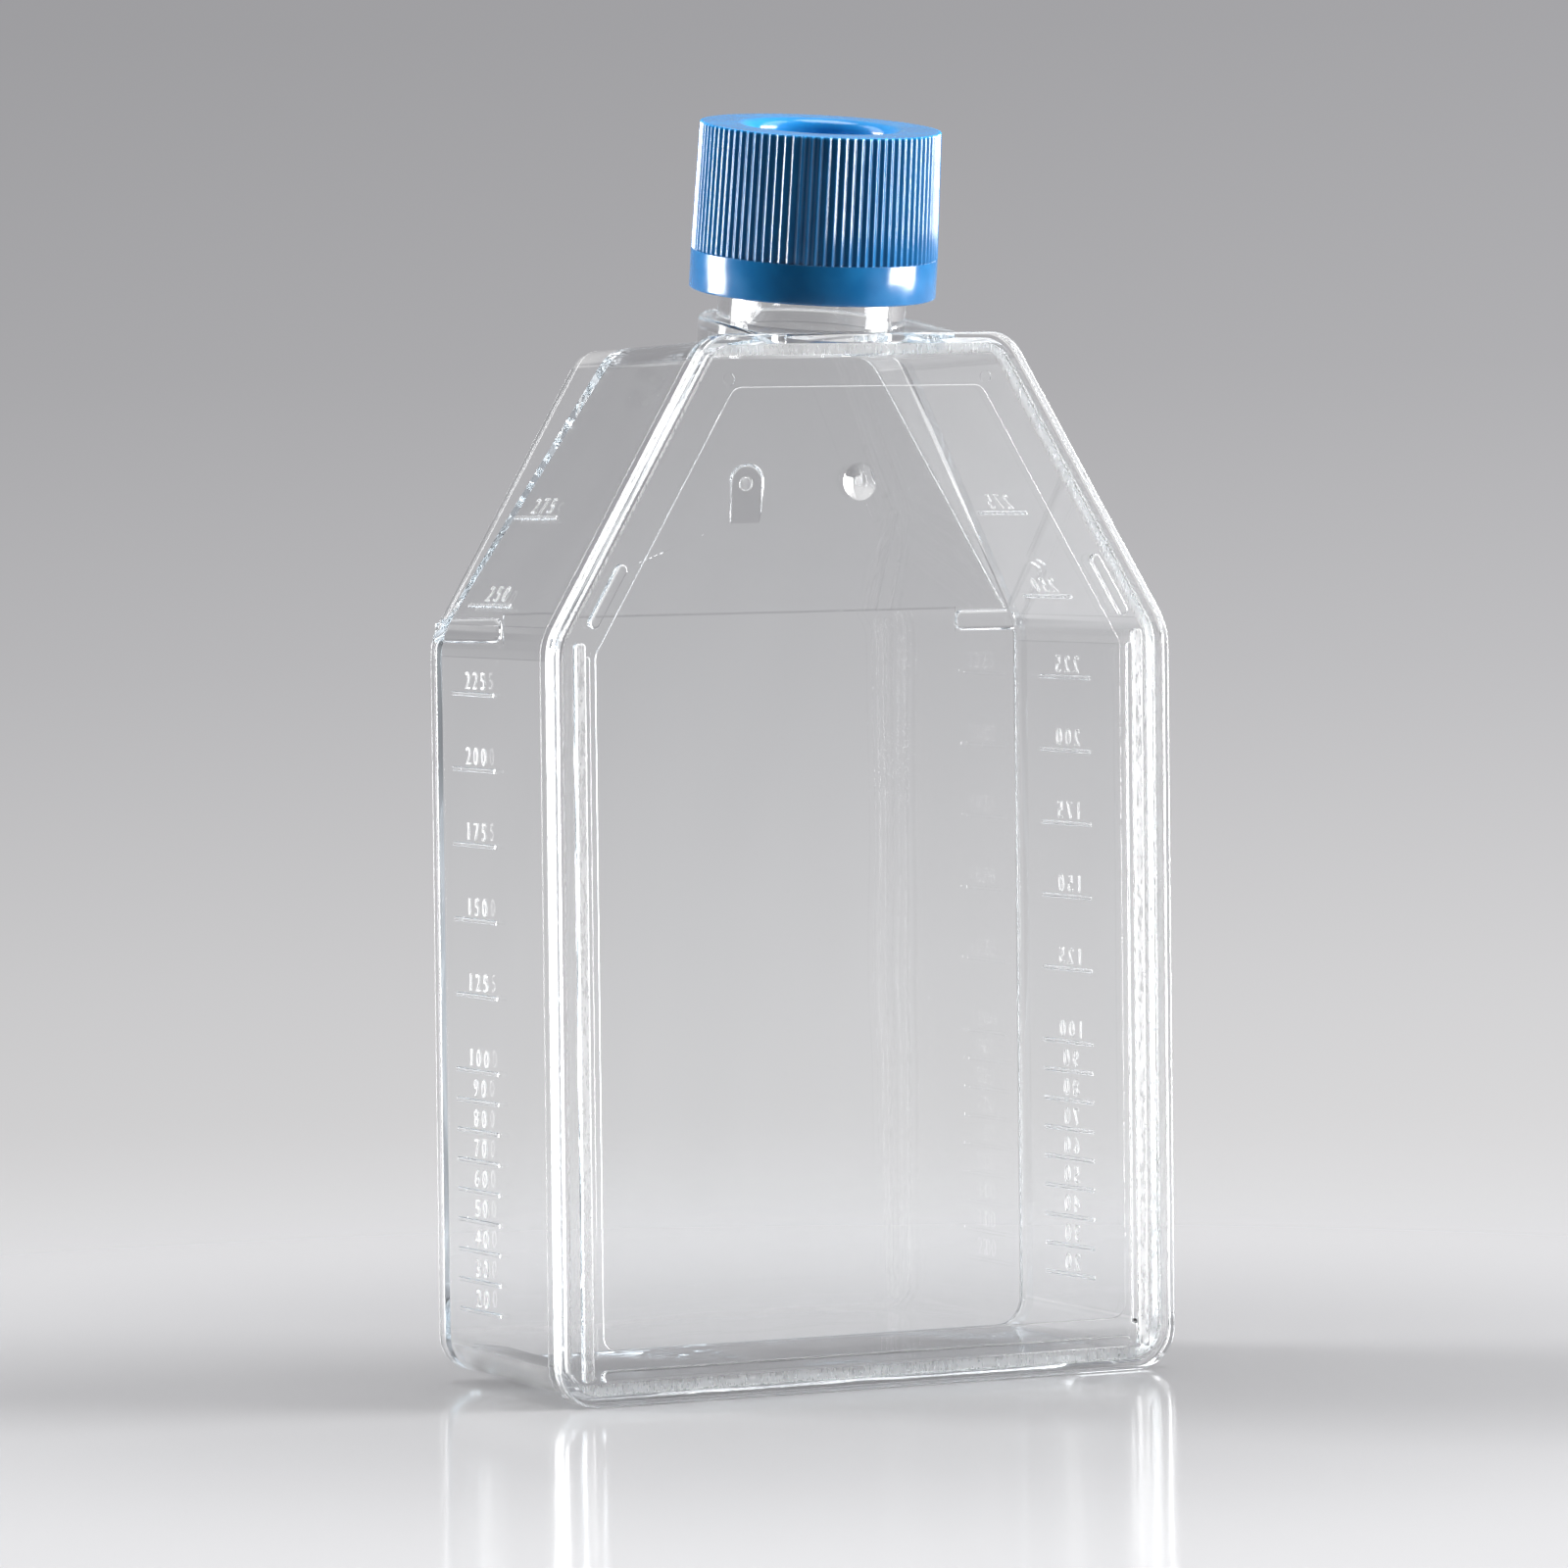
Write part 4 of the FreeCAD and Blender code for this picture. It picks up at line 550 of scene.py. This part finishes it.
level = lambda value: 9.68 + (value - 20) / 25 * 9.172
for side in (-1, 1):
    spots = [(str(value), (wall_x(7.05, side), 7.05, level(value) + 0.6), 2.12)
             for value in list(range(20, 101, 10)) + [125, 150, 175, 200, 225]]
    raise_numbers((wall_x(7.05, side), 7.05, 20.0), (0.0, side, 0.0), spots, 0.16)

SLOPE = math.radians(59.0)


def shoulder_point(z, side):
    """A point of the sloping shoulder in the middle of its bars."""
    sunk = (7.05 + 13.48) * math.tan(math.radians(1.0))
    x = 41.8 - (z - 91.606) / math.tan(SLOPE)
    return side * (x - math.sin(SLOPE) * sunk), 7.05, z - math.cos(SLOPE) * sunk


for side in (-1, 1):
    spots = [(text, shoulder_point(z + 0.6 * math.sin(SLOPE), side), 2.12) for text, z in (("250", 95.75), ("275", 106.3))]
    raise_numbers(shoulder_point(101.0, side), (0.0, side, 0.0), spots, 0.16)

# the bars beside the numbers have the same fine matt finish on top
for f in bm.faces:
    p = f.calc_center_median() / MM
    side = 1 if p.x > 0 else -1
    if -0.5 < p.y < 15.5:
        proud = side * p.x + (p.y + 13.48) * math.tan(math.radians(1.0)) - 41.8
        near = min(abs(p.z - level(value)) for value in list(range(20, 101, 10)) + [125, 150, 175, 200, 225])
        if proud > 0.004 and near < 0.33:
            f[matt] = 0.3
        for z in (95.75, 106.3):
            q = Vector(shoulder_point(z, side))
            out = Vector((side * math.sin(SLOPE), 0.0, math.cos(SLOPE)))
            if (p - q).dot(out) > 0.03 and abs((p - q).dot(Vector((-side * math.cos(SLOPE), 0.0, math.sin(SLOPE))))) < 0.3 and (p - q).length < 7:
                f[matt] = 0.5

# neck: its plain tube is taken off between boss and lip, and a turned one with a thread put in
into = NECK.inverted()
local = {v: (into @ v.co) / MM for v in bm.verts}


def on_tube(v):
    p = local[v]
    return abs(math.hypot(p.x, p.y) - 11.5) < 0.012 and p.z > -3.6


tube = [f for f in bm.faces if all(on_tube(v) for v in f.verts)]
bmesh.ops.delete(bm, geom=tube, context="FACES_ONLY")
loose = [e for e in bm.edges if not e.link_faces]
bmesh.ops.delete(bm, geom=loose, context="EDGES")
bmesh.ops.delete(bm, geom=[v for v in bm.verts if not v.link_faces], context="VERTS")
local = {v: (into @ v.co) / MM for v in bm.verts}
ends = sorted({v for e in bm.edges if len(e.link_faces) == 1 for v in e.verts}, key=lambda v: tuple(v.co))
low_end = [v for v in ends if local[v].z < 4.0]
high_end = [v for v in ends if local[v].z >= 4.0]
neck = Skin()
made = []


def borrowed(loop):
    first = len(neck.points)
    for v in loop:
        p = local[v]
        neck.points.append((p.x, p.y, p.z))
        made.append(v)
    return list(range(first, len(neck.points)))


rings = [borrowed(low_end)]
turn = np.arange(288) * (2 * math.pi / 288)
START, TURNS, TALL, TIP, FOOT = 4.6, 1.9, 0.95, 0.22, 0.75


def neck_radius(t, h):
    return 11.5 + ridge(t, h, START, TURNS, 0.0, TALL, TIP, FOOT)


for h in [-2.6] + list(np.arange(3.4, 12.0, 0.16)) + [18.0]:
    rings.append(neck.ring(neck_radius(turn, h), h, turn))
for p in neck.points[len(made):]:
    made.append(bm.verts.new(NECK @ (Vector(p) * MM)))
top_start = len(neck.points)
for v in high_end:
    p = local[v]
    neck.points.append((p.x, p.y, p.z))
    made.append(v)
rings.append(list(range(top_start, len(neck.points))))
for low, high in zip(rings, rings[1:]):
    neck.zip(low, high)
P = np.array(neck.points)
T = np.arctan2(P[:, 1], P[:, 0]) % (2 * math.pi)
R = np.hypot(P[:, 0], P[:, 1])
eps = 1e-3
r_t = (neck_radius(T + eps, P[:, 2]) - neck_radius(T - eps, P[:, 2])) / (2 * eps)
r_h = (neck_radius(T, P[:, 2] + eps) - neck_radius(T, P[:, 2] - eps)) / (2 * eps)
a1, a2 = r_t * np.cos(T) - R * np.sin(T), r_t * np.sin(T) + R * np.cos(T)
b1, b2 = r_h * np.cos(T), r_h * np.sin(T)
N = np.stack([a2, -a1, a1 * b2 - a2 * b1], axis=1)
N /= np.linalg.norm(N, axis=1)[:, None]
turned = NECK.to_3x3()
for f in neck.faces:
    face = bm.faces.new([made[i] for i in f])
    face.smooth = True
    for loop, i in zip(face.loops, f):
        loop[keep] = turned @ Vector(N[i])
# the sliver left where the lip's edge steps is filled
gap = [e for e in bm.edges if len(e.link_faces) == 1]
for face in bmesh.ops.holes_fill(bm, edges=gap, sides=0)["faces"]:
    face.smooth = True
    for loop in face.loops:
        p = into @ loop.vert.co
        loop[keep] = (turned @ Vector((p.x, p.y, 0.0))).normalized()
bm.normal_update()
open_edges = [e for e in bm.edges if len(e.link_faces) != 2]
print("flask", len(bm.verts), len(bm.faces), "open edges", len(open_edges), "ends", len(low_end), len(high_end),
      "volume mm3", round(bm.calc_volume() * 1e9, 1))
flask_mesh = bpy.data.meshes.new("flask_moulding")
bm.to_mesh(flask_mesh)
bm.free()
wanted = np.empty(len(flask_mesh.loops) * 3)
flask_mesh.attributes["kept_normal"].data.foreach_get("vector", wanted)
flask_mesh.attributes.remove(flask_mesh.attributes["kept_normal"])
flask_mesh.normals_split_custom_set([Vector(t).normalized() for t in wanted.reshape(-1, 3)])

# ---------------------------------------------------------------- materials
def position(n):
    """Place on the piece, in millimetres."""
    coord = n.add("ShaderNodeTexCoord").outputs["Object"]
    scale = n.add("ShaderNodeVectorMath", operation="SCALE")
    n.link(coord, scale.inputs[0])
    scale.inputs["Scale"].default_value = 1000.0
    return scale.outputs[0]


def spot_mask(n, place, centre, radius):
    """One inside a ball round a point, with a soft edge."""
    away = n.add("ShaderNodeVectorMath", operation="DISTANCE")
    n.link(place, away.inputs[0])
    away.inputs[1].default_value = centre
    return n.ramp(away.outputs["Value"], radius + 0.1, radius - 0.05)


def bump(n, height, distance, strength=1.0, under=None):
    node = n.add("ShaderNodeBump")
    node.inputs["Strength"].default_value = strength
    node.inputs["Distance"].default_value = distance
    n.link(height, node.inputs["Height"])
    if under is not None:
        n.link(under, node.inputs["Normal"])
    return node.outputs[0]


def stretched(n, place, scale):
    node = n.add("ShaderNodeVectorMath", operation="MULTIPLY")
    n.link(place, node.inputs[0])
    node.inputs[1].default_value = scale
    return node.outputs[0]


def clear_plastic(name, spots=(), ribs=False):
    """Clear moulded polystyrene: faint flow waves and rubbed patches. Raised figures and the weld between plate and
    body are finely matt."""
    mat, n = material(name)
    place = position(n)
    bsdf = n.add("ShaderNodeBsdfPrincipled")
    bsdf.inputs["IOR"].default_value = 1.59
    bsdf.inputs["Transmission Weight"].default_value = 1.0
    waves = n.noise(stretched(n, place, (0.05, 0.05, 0.03)), 1.0, 1.0)
    rub = n.noise(stretched(n, place, (0.35, 0.35, 0.06)), 1.0, 2.0, 0.6)
    frost = n.noise(stretched(n, place, (4.0, 4.0, 0.8)), 1.0, 1.0)
    # depth inside the plate's outline: sides, foot, crown and the sloping shoulders
    sep = n.add("ShaderNodeSeparateXYZ")
    n.link(place, sep.inputs[0])
    px, py, pz = sep.outputs
    off = n.math("ABSOLUTE", px)
    beside = n.math("SUBTRACT", 42.5, off)
    slope = n.math("SUBTRACT", n.math("MULTIPLY", beside, math.sin(SLOPE)),
                   n.math("MULTIPLY", n.math("SUBTRACT", pz, 91.8), math.cos(SLOPE)))
    depth_in = n.math("MINIMUM", n.math("MINIMUM", beside, pz), n.math("MINIMUM", slope, n.math("SUBTRACT", 128.2, pz)))
    depth_in = n.math("SUBTRACT", depth_in, 1.38)
    inside = n.ramp(depth_in, -0.22, -0.12)
    ledge = n.math("MULTIPLY", n.ramp(depth_in, 1.35, 1.10), n.ramp(py, -13.45, -13.36))
    edge = n.math("MULTIPLY", n.ramp(depth_in, 0.16, 0.08), n.ramp(py, -14.75, -14.6))
    weld = n.math("MULTIPLY", n.math("MULTIPLY", inside, n.math("MAXIMUM", ledge, edge)), n.ramp(py, -13.1, -13.2))
    weld = n.math("MULTIPLY", weld, n.ramp(frost, 0.25, 0.6, 0.45, 1.0))
    figure = n.add("ShaderNodeAttribute", attribute_type="GEOMETRY", attribute_name="matt").outputs["Fac"]
    matt_here = n.math("MAXIMUM", figure, weld)
    if ribs:
        upright = n.math("MULTIPLY", n.ramp(off, 37.5, 37.6), n.math("MULTIPLY", n.ramp(off, 39.05, 38.95), n.ramp(pz, 92.0, 91.7)))
        tops = n.math("MULTIPLY", upright, n.ramp(py, -15.02, -15.12))
        matt_here = n.math("MAXIMUM", matt_here, n.math("MULTIPLY", tops, n.ramp(frost, 0.2, 0.7, 0.45, 0.85)))
    for centre, radius in spots:
        matt_here = n.math("MAXIMUM", matt_here, spot_mask(n, place, centre, radius))
    rough = n.math("MAXIMUM", n.ramp(rub, 0.58, 0.80, 0.0, 0.035),
                   n.math("MULTIPLY", matt_here, n.ramp(frost, 0.3, 0.7, 0.36, 0.60)))
    n.link(rough, bsdf.inputs["Roughness"])
    n.link(n.ramp(matt_here, 0.0, 1.0, 1.0, 0.93), bsdf.inputs["Transmission Weight"])
    tint = n.add("ShaderNodeMix", data_type="RGBA")
    n.link(rub, tint.inputs["Factor"])
    tint.inputs["A"].default_value = (0.992, 0.997, 1.0, 1.0)
    tint.inputs["B"].default_value = (1.0, 1.0, 1.0, 1.0)
    n.link(tint.outputs["Result"], bsdf.inputs["Base Color"])
    n.link(bump(n, waves, 1.2e-4), bsdf.inputs["Normal"])
    out = n.add("ShaderNodeOutputMaterial")
    n.link(bsdf.outputs[0], out.inputs["Surface"])
    volume = n.add("ShaderNodeVolumeAbsorption")
    volume.inputs["Color"].default_value = (0.74, 0.90, 1.0, 1.0)
    volume.inputs["Density"].default_value = 6.0
    n.link(volume.outputs[0], out.inputs["Volume"])
    return mat


clear_mat = clear_plastic("clear_polystyrene", [((0.0, 16.6, 110.0), 1.0)])
plate_mat = clear_plastic("clear_polystyrene_plate", [((0.0, -14.6, 110.3), 0.62)], True)

blue_mat, n = material("blue_polyethylene")
place = position(n)
bsdf = n.add("ShaderNodeBsdfPrincipled")
patch = n.noise(place, 0.22, 3.0, 0.55)
mix = n.add("ShaderNodeMix", data_type="RGBA")
n.link(n.ramp(patch, 0.3, 0.7), mix.inputs["Factor"])
mix.inputs["A"].default_value = (0.007, 0.100, 0.260, 1.0)
mix.inputs["B"].default_value = (0.010, 0.125, 0.310, 1.0)
# painted light: crown and well get a paler blue colour, standing in for light that comes through the thin top there
cap_top = max((into @ v.co).z for v in cap_mesh.vertices) / MM
from_neck = n.add("ShaderNodeVectorMath", operation="SUBTRACT")
n.link(place, from_neck.inputs[0])
from_neck.inputs[1].default_value = NECK.translation / MM
along = n.add("ShaderNodeVectorMath", operation="DOT_PRODUCT")
n.link(from_neck.outputs[0], along.inputs[0])
along.inputs[1].default_value = NECK.to_3x3() @ Vector((0.0, 0.0, 1.0))
outward = n.add("ShaderNodeVectorMath", operation="LENGTH")
n.link(from_neck.outputs[0], outward.inputs[0])
height = along.outputs["Value"]
radial = n.math("SQRT", n.math("MAXIMUM", n.math("SUBTRACT", n.math("MULTIPLY", outward.outputs["Value"], outward.outputs["Value"]),
                                                 n.math("MULTIPLY", height, height)), 0.0))
crown = n.math("MAXIMUM", n.ramp(height, cap_top - 0.40, cap_top - 0.05),
               n.math("MULTIPLY", n.ramp(radial, 11.5, 10.5), n.ramp(height, cap_top - 6.0, cap_top - 3.0)))
painted_crown_light = n.add("ShaderNodeMix", data_type="RGBA")
n.link(n.math("MULTIPLY", crown, n.ramp(patch, 0.2, 0.8, 0.8, 1.0)), painted_crown_light.inputs["Factor"])
n.link(mix.outputs["Result"], painted_crown_light.inputs["A"])
# the paler blue painted in for light through the top
painted_crown_light.inputs["B"].default_value = (0.022, 0.290, 0.690, 1.0)
n.link(painted_crown_light.outputs["Result"], bsdf.inputs["Base Color"])
grain = n.noise(place, 5.0, 3.0, 0.6)
n.link(n.math("ADD", n.ramp(patch, 0.35, 0.75, 0.13, 0.19), n.ramp(grain, 0.3, 0.7, -0.02, 0.02)), bsdf.inputs["Roughness"])
bsdf.inputs["IOR"].default_value = 1.51
bsdf.inputs["Subsurface Weight"].default_value = 0.12
bsdf.inputs["Subsurface Radius"].default_value = (0.3, 0.7, 1.0)
bsdf.inputs["Subsurface Scale"].default_value = 0.0006
n.link(bump(n, grain, 4e-6, under=bump(n, patch, 2.5e-5)), bsdf.inputs["Normal"])
n.link(bsdf.outputs[0], n.add("ShaderNodeOutputMaterial").inputs["Surface"])

white_mat, n = material("white_membrane")
place = position(n)
bsdf = n.add("ShaderNodeBsdfPrincipled")
fibre = n.noise(stretched(n, place, (14.0, 3.0, 3.0)), 1.0, 4.0, 0.65)
fibre2 = n.noise(stretched(n, place, (3.0, 14.0, 3.0)), 1.0, 4.0, 0.65)
web = n.math("MAXIMUM", fibre, fibre2)
mix = n.add("ShaderNodeMix", data_type="RGBA")
n.link(n.ramp(web, 0.4, 0.75), mix.inputs["Factor"])
mix.inputs["A"].default_value = (0.74, 0.74, 0.72, 1.0)
mix.inputs["B"].default_value = (0.88, 0.88, 0.87, 1.0)
n.link(mix.outputs["Result"], bsdf.inputs["Base Color"])
n.link(n.ramp(web, 0.4, 0.75, 0.85, 0.65), bsdf.inputs["Roughness"])
n.link(bump(n, web, 3e-5), bsdf.inputs["Normal"])
n.link(bsdf.outputs[0], n.add("ShaderNodeOutputMaterial").inputs["Surface"])

for name, mat in (("front_plate", plate_mat), ("vent_membrane", white_mat)):
    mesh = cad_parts[name].data
    mesh.materials.clear()
    mesh.materials.append(mat)
piece("flask_moulding", flask_mesh, "flask", "flask_body", (clear_mat,))
piece("vented_cap", cap_mesh, "closure", "cap", (blue_mat,))
